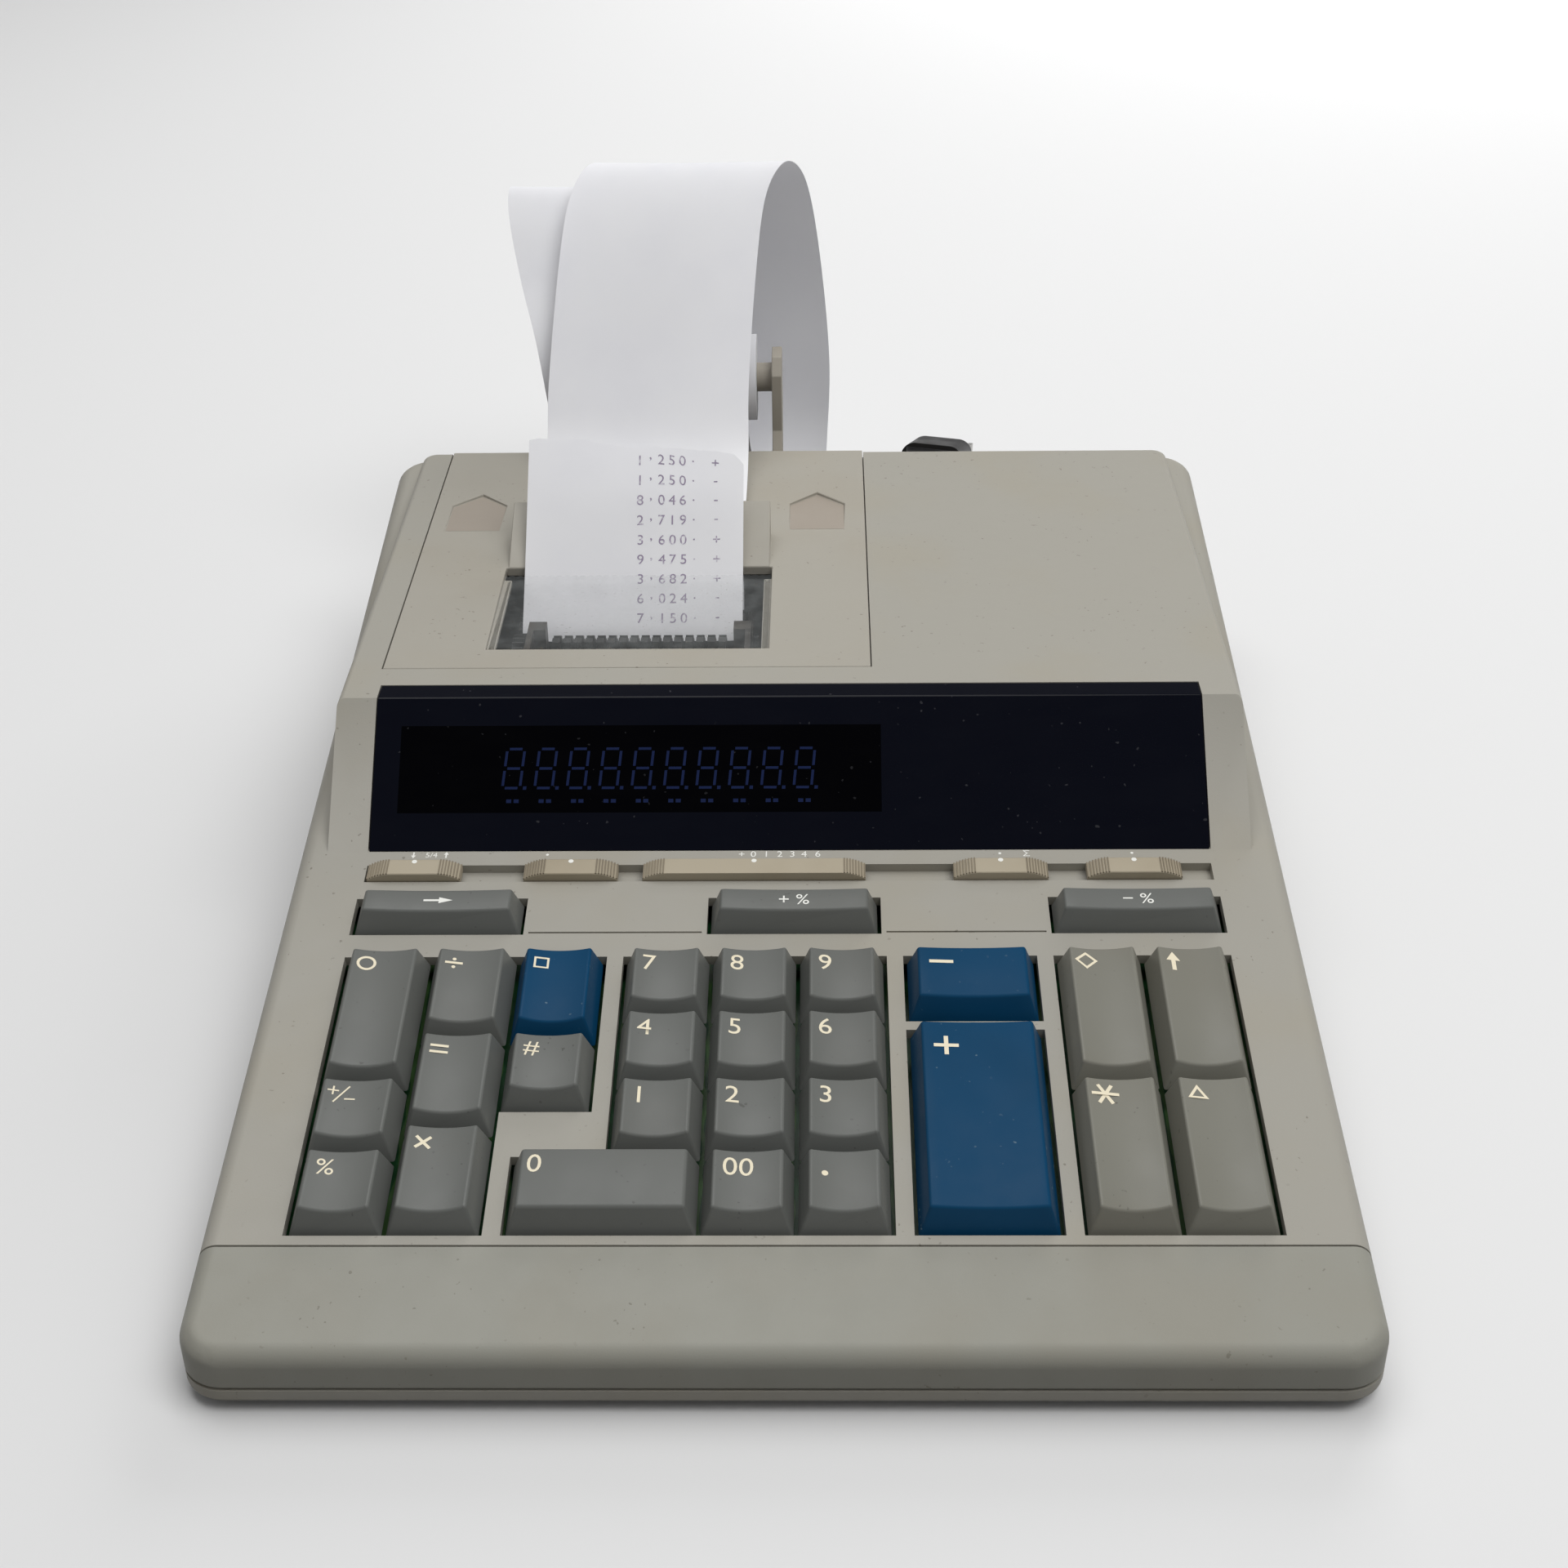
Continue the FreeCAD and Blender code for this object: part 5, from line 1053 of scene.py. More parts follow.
@dataclass
class MainsLead:
    """The mains lead: one smooth line from the strain relief through its coil to the plug.

    Attributes:
        route: Points of the free stretch in the machine's millimetres, as in the part's source.
        middle: Middle of the coil.
        outer: Radius of the coil's first turn.
        inner: Radius where the coil turns back outwards, one layer up.
        step: Distance between turns and between layers.
        floor_line: Height of the first layer.
        climb: Share of a turn that it takes to climb a layer.
        turns: Number of turns.
        plug_radius: Distance of the plug from the coil's middle.
        plug_height: Height of the plug.
        plug_tilt: Angle that the plug points down by, in degrees.
        last_rest: Share of the last climb after which it rises to the plug.
        diameter: Thickness of the lead.
        plug_length: Length of the plug up to its blades.
        length: Length of the lead, in metres; not used.
        points_in_turn: Points of the line in a turn.
    """

    route: Sequence[tuple[float, float, float]] = (
        (55.0, 301.0, 10.5), (55.0, 307.0, 10.5), (54.6, 313.0, 9.6), (53.8, 319.5, 7.2),
        (52.9, 326.0, 4.75), (52.2, 332.0, 3.5),
    )
    middle: tuple[float, float] = (3.0, 338.0)
    outer: float = 49.0
    inner: float = 26.0
    step: float = 7.2
    floor_line: float = 3.3
    climb: float = 0.5
    turns: float = 6.958
    plug_radius: float = 37.0
    plug_height: float = 30.0
    plug_tilt: float = 15.0
    last_rest: float = 0.7
    diameter: float = 6.5
    plug_length: float = 27.1
    length: float = 1.647
    points_in_turn: int = 16

    def coil_point(self, turns: float) -> Vector:
        """Follows the coil: inwards on the floor, up and outwards, and up again to the plug.

        Args:
            turns: Number of turns from its start.

        Returns:
            The frame's point.
        """
        inward = (self.outer - self.inner) / self.step
        outward = self.turns - inward - 2 * self.climb
        radius, height = self.outer - self.step * turns, self.floor_line
        back = turns - inward
        if back > 0:
            share = min(back / self.climb, 1)
            radius = self.inner - self.step * self.climb * share * (1 - share)
            height += self.step * ease(share)
        out = back - self.climb
        if out > 0:
            radius = self.inner + self.step * min(out, outward)
        if out > outward:
            share = min((out - outward) / self.climb, 1)
            rise = ease(min(share / self.climb, 1))
            radius += self.step * self.climb ** 2 * rise
            radius += (self.plug_radius - radius) * ease(max(share - self.climb, 0) / (1 - self.climb))
            height += self.step * rise
            height += (self.plug_height - height) * ease(max(share - self.last_rest, 0) / (1 - self.last_rest))
        angle = 2 * math.pi * turns
        x, y = self.middle
        return machine_point(x + radius * math.cos(angle), y + radius * math.sin(angle), height)

    def heading(self, points: Sequence[Vector]) -> Vector:
        """Gives the way that the plug points, a little downwards.

        Args:
            points: The line up to the plug.

        Returns:
            The direction.
        """
        level = (points[-1] - points[-2]).to_2d().normalized().to_3d()
        tilt = math.radians(self.plug_tilt)
        return level * math.cos(tilt) - Vector((0, 0, math.sin(tilt)))

    def build(self) -> bpy.types.Object:
        """Returns:
            The lead.
        """
        count = math.ceil(self.turns * self.points_in_turn)
        points = [machine_point(*place) for place in self.route]
        points += [self.coil_point(self.turns * index / count) for index in range(count + 1)]
        points.append(points[-1] + self.heading(points) * (self.diameter * MM))
        curve = bpy.data.curves.new("mains_lead", "CURVE")
        curve.dimensions = "3D"
        line = curve.splines.new("NURBS")
        line.points.add(len(points) - 1)
        for knot, point in zip(line.points, points):
            knot.co = (*point, 1.0)
        line.order_u = 3
        line.use_endpoint_u = True
        line.resolution_u = 5
        curve.bevel_depth = self.diameter * MM / 2
        curve.bevel_resolution = 5
        curve.use_fill_caps = True
        curve.materials.append(Finish.VINYL.made)
        lead = into_scene("mains_lead", curve)
        LOG.info("mains_lead: %d points on %s", len(points), MACHINE)
        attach(lead, MACHINE)
        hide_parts("power_cord", "cord_coil")
        self._plug(points)
        return lead

    def _plug(self, points: Sequence[Vector]) -> bpy.types.Object:
        """Shows the plug with smooth curves and bare metal blades.

        Args:
            points: The line of the lead, with its end in the plug.

        Returns:
            The plug.
        """
        piece = Moulding("mains_plug", Finish.VINYL, edge=0.5).build()
        piece.data.materials.append(Finish.STEEL.made)
        way = self.heading(points[:-1])
        for face in piece.data.polygons:
            face.material_index = int((face.center - points[-2]).dot(way) > self.plug_length * MM)
        return piece


# Slow swell of the paper: its change per station and across, and its height as a share of the cup
SWELL_ALONG, SWELL_ACROSS, SWELL_HEIGHT = 0.55, 1.7, 0.12

# Share of the cup that lies below the middle line
CUP_LEVEL = 0.3

# Fibres of a torn end: height in millimetres and waves across
FIBRES = ((0.1, 57.0), (0.06, 131.0))


@dataclass
class PaperStrip:
    """A strip of paper along a route, with the curl that it keeps from the roll.

    Attributes:
        node: CAD node that it stands for.
        route: Route of its middle line as (y, z, middle x) in the machine's millimetres.
        bend: Places (y, z) where it stops keeping still with the machine and where it goes with the cover.
        held: How it is held; not used.
        rests_on: Nodes that it rests on; not used.
        width: Width of the paper, in millimetres.
        thick: Thickness of the paper as it is shown.
        cup: How far its edges stand off its middle line.
        torn: How far the torn end falls short, as (share across, millimetres), or nothing for an end out of sight.
        torn_rows: Stations over which the tear is taken up.
        steps: Stations between two points of the route.
        columns: Faces across the paper.
    """

    node: str
    route: Sequence[tuple[float, float, float]]
    bend: Sequence[tuple[float, float]]
    held: str
    rests_on: Sequence[str]
    width: float = 57.0
    thick: float = 0.12
    cup: float = 0.5
    torn: Sequence[tuple[float, float]] = ()
    torn_rows: int = 10
    steps: int = 8
    columns: int = 48

    def stations(self) -> list[Vector]:
        """Draws the middle line smoothly through the points of the route.

        Returns:
            Points along it, in the machine's millimetres.
        """
        knots = [Vector((x, y, z)) for y, z, x in self.route]
        knots = [2 * knots[0] - knots[1], *knots, 2 * knots[-1] - knots[-2]]
        line = []
        for a, b, c, d in zip(knots, knots[1:], knots[2:], knots[3:]):
            for step in range(self.steps):
                t = step / self.steps
                line.append(0.5 * (2 * b + (c - a) * t + (2 * a - 5 * b + 4 * c - d) * t ** 2
                                   + (3 * b - a - 3 * c + d) * t ** 3))
        return [*line, knots[-2]]

    def point(self, line: Sequence[Vector], index: int, across: float, lift: float = 0.0) -> Vector:
        """Gives a point of the paper.

        Args:
            line: The middle line.
            index: Station along it.
            across: Share across the paper, from -1 to 1.
            lift: Distance off the middle of its thickness, in millimetres.

        Returns:
            The frame's point.
        """
        before, after = line[max(index - 1, 0)], line[min(index + 1, len(line) - 1)]
        along = Vector((0, after.y - before.y, after.z - before.z)).normalized()
        away = Vector((0, -along.z, along.y))
        swell = math.sin(index * SWELL_ALONG + across * SWELL_ACROSS) * SWELL_HEIGHT * self.cup
        stand_off = self.cup * (across ** 2 - CUP_LEVEL) + swell
        spot = line[index] + Vector((across * self.width / 2, 0, 0)) + away * stand_off
        share = (index - len(line) + 1) / self.torn_rows + 1
        if self.torn and share > 0:
            spot -= along * (self.shortfall(across) * share)
        return machine_point(*(spot + away * lift))

    def shortfall(self, across: float) -> float:
        """Gives how far the torn end falls short.

        Args:
            across: Share across the paper, from -1 to 1.

        Returns:
            The distance, in millimetres.
        """
        fibres = sum(height * math.sin(across * waves) for height, waves in FIBRES)
        for (left, low), (right, high) in zip(self.torn, self.torn[1:]):
            if across <= right:
                return low + (high - low) * (across - left) / (right - left) + fibres
        return self.torn[-1][1]

    def spot(self, x: float, below: float, lift: float) -> Vector:
        """Gives a point on the paper's face.

        Args:
            x: Millimetres across from its middle.
            below: Millimetres along it from its far end.
            lift: Distance off the middle of its thickness, in millimetres.

        Returns:
            The frame's point.
        """
        line = self.stations()
        index = len(line) - 1
        while (line[index] - line[index - 1]).length < below:
            below -= (line[index] - line[index - 1]).length
            index -= 1
        ends = [self.point(line, place, 2 * x / self.width, lift) for place in (index, index - 1)]
        return ends[0].lerp(ends[1], below / (line[index] - line[index - 1]).length)

    def build(self, *prints: bpy.types.Object) -> bpy.types.Object:
        """Builds the strip and lets it stand for its CAD node.

        Args:
            prints: What is printed on it.

        Returns:
            The strip.
        """
        line = self.stations()
        shares = [2 * column / self.columns - 1 for column in range(self.columns + 1)]
        paper = bmesh.new()
        rows = [[paper.verts.new(self.point(line, index, share)) for share in shares] for index in range(len(line))]
        for low, high in zip(rows, rows[1:]):
            for column in range(self.columns):
                paper.faces.new((low[column], low[column + 1], high[column + 1], high[column]))
        name = self.node + "_sheet"
        holder = into_scene(name, mesh_of(name, paper))
        wall = holder.modifiers.new("thickness", "SOLIDIFY")
        wall.thickness = self.thick * MM
        wall.offset = 0.0
        sheet = link(name, smooth(plain_mesh(holder), angle=60), None, Finish.PAPER)
        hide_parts(self.node)
        still, carried = [machine_point(PAPER_X, y, z) for y, z in self.bend]
        for piece in (sheet, *prints):
            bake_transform(piece, MACHINE, COVER, start=still, end=carried)
        length = sum((b - a).length for a, b in zip(line, line[1:]))
        self.width * MM
        return sheet


class Repeat(Bench):
    """A Geometry Nodes tree with a named input for each of its sizes."""

    def __init__(self, name: str, sizes: dict[str, Number]) -> None:
        """Starts a tree with one output and an input for each size.

        Args:
            name: Name of the tree.
            sizes: Value of each input by its name, a whole number for a count.
        """
        super().__init__(bpy.data.node_groups.new(name, "GeometryNodeTree"))
        self.name = name
        self.sizes = sizes
        self.tree.interface.new_socket("Geometry", in_out="OUTPUT", socket_type="NodeSocketGeometry")
        for label, value in sizes.items():
            kind = "NodeSocketInt" if isinstance(value, int) else "NodeSocketFloat"
            self.tree.interface.new_socket(label, in_out="INPUT", socket_type=kind)
        self.given = {label: self.add("NodeGroupInput", {}, {}, label) for label in sizes}

    def vector(self, x: "Term | Number" = 0.0, y: "Term | Number" = 0.0, z: "Term | Number" = 0.0) -> Term:
        """Joins three values into a vector."""
        return self.add("ShaderNodeCombineXYZ", {}, {"X": x, "Y": y, "Z": z})

    def plate(self, wide: Term, high: Term) -> Term:
        """Makes a flat plate about the middle."""
        return self.add("GeometryNodeMeshGrid", {}, {"Size X": wide, "Size Y": high, "Vertices X": 2, "Vertices Y": 2})

    def moved(self, shape: Term, place: Term) -> Term:
        """Moves a shape."""
        return self.add("GeometryNodeTransform", {}, {"Geometry": shape, "Translation": place})

    def joined(self, *shapes: Term) -> Term:
        """Joins shapes."""
        return self.add("GeometryNodeJoinGeometry", {}, {"Geometry": list(shapes)})

    def line(self, count: Term, start: Term, step: Term) -> Term:
        """Makes a straight row of points."""
        return self.add("GeometryNodeMeshLine", {}, {"Count": count, "Start Location": start, "Offset": step})

    def on_points(self, points: Term, shape: Term) -> Term:
        """Puts a shape on every point and makes the copies real."""
        copies = self.add("GeometryNodeInstanceOnPoints", {}, {"Points": points, "Instance": shape})
        return self.add("GeometryNodeRealizeInstances", {}, {"Geometry": copies})

    def mesh(self, shape: Term, finish: Finish) -> bpy.types.Mesh:
        """Ends the tree and turns it into a plain mesh.

        Args:
            shape: What the tree gives.
            finish: Finish of the whole shape.

        Returns:
            The mesh, with its material.
        """
        whole = self.add("GeometryNodeRealizeInstances", {}, {"Geometry": shape})
        dressed = self.add("GeometryNodeSetMaterial", {}, {"Geometry": whole, "Material": finish.made})
        self.add("NodeGroupOutput", {}, {"Geometry": dressed}, None)
        holder = bpy.data.objects.new(self.name, bpy.data.meshes.new(self.name))
        modifier = holder.modifiers.new(self.name, "NODES")
        modifier.node_group = self.tree
        for socket in self.tree.interface.items_tree:
            if socket.in_out == "INPUT":
                modifier[socket.identifier] = self.sizes[socket.name]
        bpy.context.scene.collection.objects.link(holder)
        return plain_mesh(holder)


class Decal:
    """Flat print on a surface, gathered into one mesh."""

    def __init__(self, name: str, body: "str | None", finish: Finish) -> None:
        """Starts an empty print that rides on a body, or bends between two."""
        self.name, self.body, self.finish = name, body, finish
        self.print = bmesh.new()

    def lay(self, drawn: bmesh.types.BMesh, spot: Callable[[float, float], Vector]) -> None:
        """Lays a flat drawing on the surface.

        Args:
            drawn: The drawing, which is used up.
            spot: Gives the frame's point for a point of the drawing.
        """
        laid = {vert: self.print.verts.new(spot(vert.co.x, vert.co.y)) for vert in drawn.verts}
        for flat in drawn.faces:
            self.print.faces.new([laid[vert] for vert in flat.verts])
        drawn.free()

    def build(self) -> bpy.types.Object:
        """Puts the print into the scene."""
        return link(self.name, mesh_of(self.name, self.print), self.body, self.finish)


def disc(radius: float, corners: int = 20) -> bmesh.types.BMesh:
    """Draws a filled circle."""
    angles = [2 * math.pi * index / corners for index in range(corners)]
    return Glyphs.polygons([[(radius * math.cos(a), radius * math.sin(a)) for a in angles]])


@dataclass
class SlideSelector:
    """Ribbed finger grips and the index dot of a slide selector, on its CAD knob.

    Attributes:
        node: CAD node and body of the selector.
        middle: Middle of the knob across the deck, in millimetres.
        length: Length of the knob.
        row: Place of the knobs up the deck.
        top: Height of the knob over the deck.
        depth: Size of the knob up the deck.
        ramp: Length of the curved end that carries the ribs.
        drop: How far the knob falls over that length.
        dot_radius: Radius of the index dot.
        dot_inset: Distance of the dot from the knob's far side.
    """

    node: str
    middle: float
    length: float = 21.6
    row: float = 103.8
    top: float = 2.2
    depth: float = 5.0
    ramp: float = 5.5
    drop: float = 1.8
    dot_radius: float = 0.6
    dot_inset: float = 0.8

    def build(self) -> None:
        """Builds the ribs and the dot."""
        aim = Matrix((Vector((1, 0, 0)), DECK_UP, DECK_NORMAL)).transposed().to_4x4()
        mesh = self._ribs()
        mesh.transform(Matrix.Translation(deck_point(self.middle, self.row, self.top)) @ aim)
        # The ribs' darker finish is painted shade for their grooves
        link(self.node + "_ribs", mesh, self.node, Finish.RIBS)
        dot = Decal(self.node + "_dot", self.node, Finish.LEGEND_WHITE)
        rise = self.row + self.depth / 2 - self.dot_inset
        dot.lay(
            disc(self.dot_radius),
            lambda x, y: deck_point(self.middle + x, rise + y, self.top + PRINT_LIFT),
        )
        dot.build()

    def _ribs(self) -> bpy.types.Mesh:
        """Repeats a rib along both curved ends.

        Returns:
            The ribs about the middle of the knob's top.
        """
        sizes = {
            "ribs": 8, "pitch": 0.66 * MM, "rib width": 0.3 * MM, "rib height": 0.36 * MM,
            "depth": self.depth * 0.98 * MM, "half length": self.length / 2 * MM, "ramp": self.ramp * MM,
            "drop": self.drop * MM, "edge": 0.2 * MM,
        }
        tree = Repeat(self.node + "_ribs", sizes)
        given = tree.given
        start = tree.vector(given["half length"] - given["edge"])
        points = tree.line(given["ribs"], start, tree.vector(given["pitch"] * -1))
        place = tree.add("GeometryNodeInputPosition", {}, {})
        along = tree.add("ShaderNodeSeparateXYZ", {}, {"Vector": place})
        share = (along - given["half length"]) / given["ramp"] + 1
        fall = tree.vector(0.0, 0.0, share * share * given["drop"] * -1)
        points = tree.add("GeometryNodeSetPosition", {}, {"Geometry": points, "Offset": fall})
        bar = tree.vector(given["rib width"], given["depth"], given["rib height"])
        right = tree.on_points(points, tree.add("GeometryNodeMeshCube", {}, {"Size": bar}))
        turned = {"Geometry": right, "Rotation": (0.0, 0.0, math.pi)}
        left = tree.add("GeometryNodeTransform", {}, turned)
        return tree.mesh(tree.joined(right, left), Finish.RIBS)


SELECTORS = [
    SlideSelector("selector_rounding", -85.7),
    SlideSelector("selector_print", -49.7),
    SlideSelector("selector_decimal", -7.7, length=51.0),
    SlideSelector("selector_sigma", 48.7),
    SlideSelector("selector_grand_total", 79.1),
]


@dataclass
class DeckMarks:
    """Figures, arrows and index dots printed on the deck behind the selectors.

    Attributes:
        row: Place of the marks up the deck, in millimetres.
        height: Height of a figure.
        small: Size of a mark of several figures, against that of a single one.
        figures: Each figure with its place across the deck.
        arrows: Place of each arrow, with 1 for up and -1 for down.
        arrow_height: Height of an arrow.
        dots: Places of the small index dots.
        dot_radius: Radius of a dot.
    """

    row: float = 110.15
    height: float = 2.8
    small: float = 0.8
    figures: Sequence[tuple[str, float]] = (
        ("+", -10.7), ("0", -8.0), ("1", -5.0), ("2", -1.9), ("3", 1.0), ("4", 3.7), ("6", 6.9),
        ("5/4", -82.6), ("Σ", 55.0),
    )
    arrows: Sequence[tuple[float, int]] = ((-86.8, -1), (-79.2, 1))
    arrow_height: float = 2.2
    dots: Sequence[float] = (-55.7, 48.9, 79.3)
    dot_radius: float = 0.35

    def spot(self, place: float, x: float, y: float) -> Vector:
        """Gives the frame's point for a point of a mark, in millimetres about the mark's place."""
        return deck_point(place + x, self.row + y, PRINT_LIFT)

    def build(self) -> bpy.types.Object:
        """Prints the marks.

        Returns:
            The print.
        """
        marks = Decal("deck_marks", MACHINE, Finish.LEGEND_WHITE)
        for figure, place in self.figures:
            high = self.height * (self.small if len(figure) > 1 else 1.0)
            marks.lay(Glyphs.figures(figure), lambda x, y: self.spot(place, x * high, y * high))
        for place, way in self.arrows:
            arrow = Glyphs.polygons([[(x * way, y * way) for x, y in ARROW]])
            marks.lay(arrow, lambda x, y: self.spot(place, x * self.arrow_height, y * self.arrow_height))
        for place in self.dots:
            marks.lay(disc(self.dot_radius, corners=12), lambda x, y: self.spot(place, x, y))
        return marks.build()


# Details of a display figure, in widths of its strokes
POINT_SIZE, POINT_GAP = 1.3, 1.8
CONTACT_WIDE, CONTACT_HIGH, CONTACT_SIDE = 1.9, 1.4, 1.4


@dataclass
class Display:
    """Dark pane and unlit figures behind the lens, drawn on its sloping face.

    Attributes:
        foot: Lower edge of the face as (y, z) in the machine's millimetres.
        slope: Slope of the face, in degrees.
        pane: Ends of the dark pane across the face.
        rise: Ends of the pane up the face.
        first: Middle of the first figure across the face.
        middle: Middle of the figures up the face.
        pitch: Distance between figures.
        digits: Number of figures.
    """

    foot: tuple[float, float] = (110.2, 34.24)
    slope: float = 40.8
    pane: tuple[float, float] = (-91.3, 21.8)
    rise: tuple[float, float] = (9.4, 30.8)
    first: float = -64.4
    middle: float = 20.2
    pitch: float = 7.58
    digits: int = 10

    def spot(self, x: float, up: float, lift: float) -> Vector:
        """Gives the frame's point for a place on the face.

        Args:
            x: Millimetres across the face.
            up: Millimetres up the face.
            lift: Millimetres out of the face.

        Returns:
            The frame's point.
        """
        angle = math.radians(self.slope)
        y, z = self.foot
        return machine_point(
            x, y + up * math.cos(angle) - lift * math.sin(angle), z + up * math.sin(angle) + lift * math.cos(angle),
        )

    def build(self) -> None:
        """Builds the pane and the figures."""
        pane = Decal("display_pane", MACHINE, Finish.PANE)
        (left, right), (low, high) = self.pane, self.rise
        pane.lay(
            Glyphs.polygons([[(left, low), (right, low), (right, high), (left, high)]]),
            lambda x, y: self.spot(x, y, PRINT_LIFT),
        )
        pane.build()
        mesh = self._figures()
        aim = Matrix.Rotation(math.radians(self.slope), 4, "X")
        mesh.transform(Matrix.Translation(self.spot(self.first, self.middle, 2 * PRINT_LIFT)) @ aim)
        link("display_figures", mesh, MACHINE, Finish.DIGIT)

    def _figures(self) -> bpy.types.Mesh:
        """Repeats an unlit seven-segment figure, its point and the contacts under it.

        Returns:
            The figures about the middle of the first.
        """
        sizes = {
            "digits": self.digits, "pitch": self.pitch * MM, "wide": 4.1 * MM, "high": 9.6 * MM,
            "stroke": 0.62 * MM, "gap": 0.5 * MM, "lean": 0.09, "contact drop": -8.0 * MM,
        }
        tree = Repeat("display_figures", sizes)
        wide, high, stroke = tree.given["wide"], tree.given["high"], tree.given["stroke"]
        bar = tree.plate(wide - stroke - tree.given["gap"], stroke)
        post = tree.plate(stroke, high * 0.5 - stroke - tree.given["gap"])
        segments = [tree.moved(bar, tree.vector(0.0, high * share)) for share in (-0.5, 0.0, 0.5)]
        segments += [
            tree.moved(post, tree.vector(wide * side, high * share))
            for side in (-0.5, 0.5) for share in (-0.25, 0.25)
        ]
        point = tree.plate(stroke * POINT_SIZE, stroke * POINT_SIZE)
        segments.append(tree.moved(point, tree.vector(wide * 0.5 + stroke * POINT_GAP, high * -0.5)))
        figure = tree.joined(*segments)
        place = tree.add("GeometryNodeInputPosition", {}, {})
        rise = tree.add("ShaderNodeSeparateXYZ", {}, {"Vector": place}, 1)
        lean = tree.vector(rise * tree.given["lean"])
        figure = tree.add("GeometryNodeSetPosition", {}, {"Geometry": figure, "Offset": lean})
        contact = tree.plate(stroke * CONTACT_WIDE, stroke * CONTACT_HIGH)
        pair = [
            tree.moved(contact, tree.vector(stroke * side, tree.given["contact drop"]))
            for side in (-CONTACT_SIDE, CONTACT_SIDE)
        ]
        row = tree.line(tree.given["digits"], tree.vector(), tree.vector(tree.given["pitch"]))
        return tree.mesh(tree.on_points(row, tree.joined(figure, *pair)), Finish.DIGIT)


@dataclass
class FingerPads:
    """Finely textured floors of the two finger pads in the printer cover.

    Attributes:
        middles: Middles of the pads across the cover, in the machine's millimetres.
        front: Front edge of the pads.
        side: Length of a pad's straight sides.
        length: Length of a pad to its point.
        width: Width of a pad.
        level: Height of the cover.
        slope: How far the floors fall to the rear, in degrees.
        inset: Distance of the floors from the pads' sides.
        lift: Distance of the floors over those of the cover.
    """

    middles: Sequence[float] = (-86.5, 6.8)
    front: float = 228.2
    side: float = 17.0
    length: float = 24.4
    width: float = 15.0
    level: float = 59.0
    slope: float = 2.0
    inset: float = 0.15
    lift: float = 0.04

    def outline(self) -> list[tuple[float, float]]:
        """Gives the outline of a pad about the middle of its front edge."""
        half, rear, point = self.width / 2 - self.inset, self.side - self.inset, self.length - 2 * self.inset
        return [(-half, 6 * self.inset), (half, 6 * self.inset), (half, rear), (0.0, point), (-half, rear)]

    def build(self) -> bpy.types.Object:
        """Lays both floors.

        Returns:
            The floors.
        """
        pads = Decal("finger_pads", COVER, Finish.PAD)
        fall = math.tan(math.radians(self.slope))
        for middle in self.middles:
            pads.lay(
                Glyphs.polygons([self.outline()]),
                lambda x, y: machine_point(middle + x, self.front + y, self.level - y * fall + self.lift),
            )
        return pads.build()


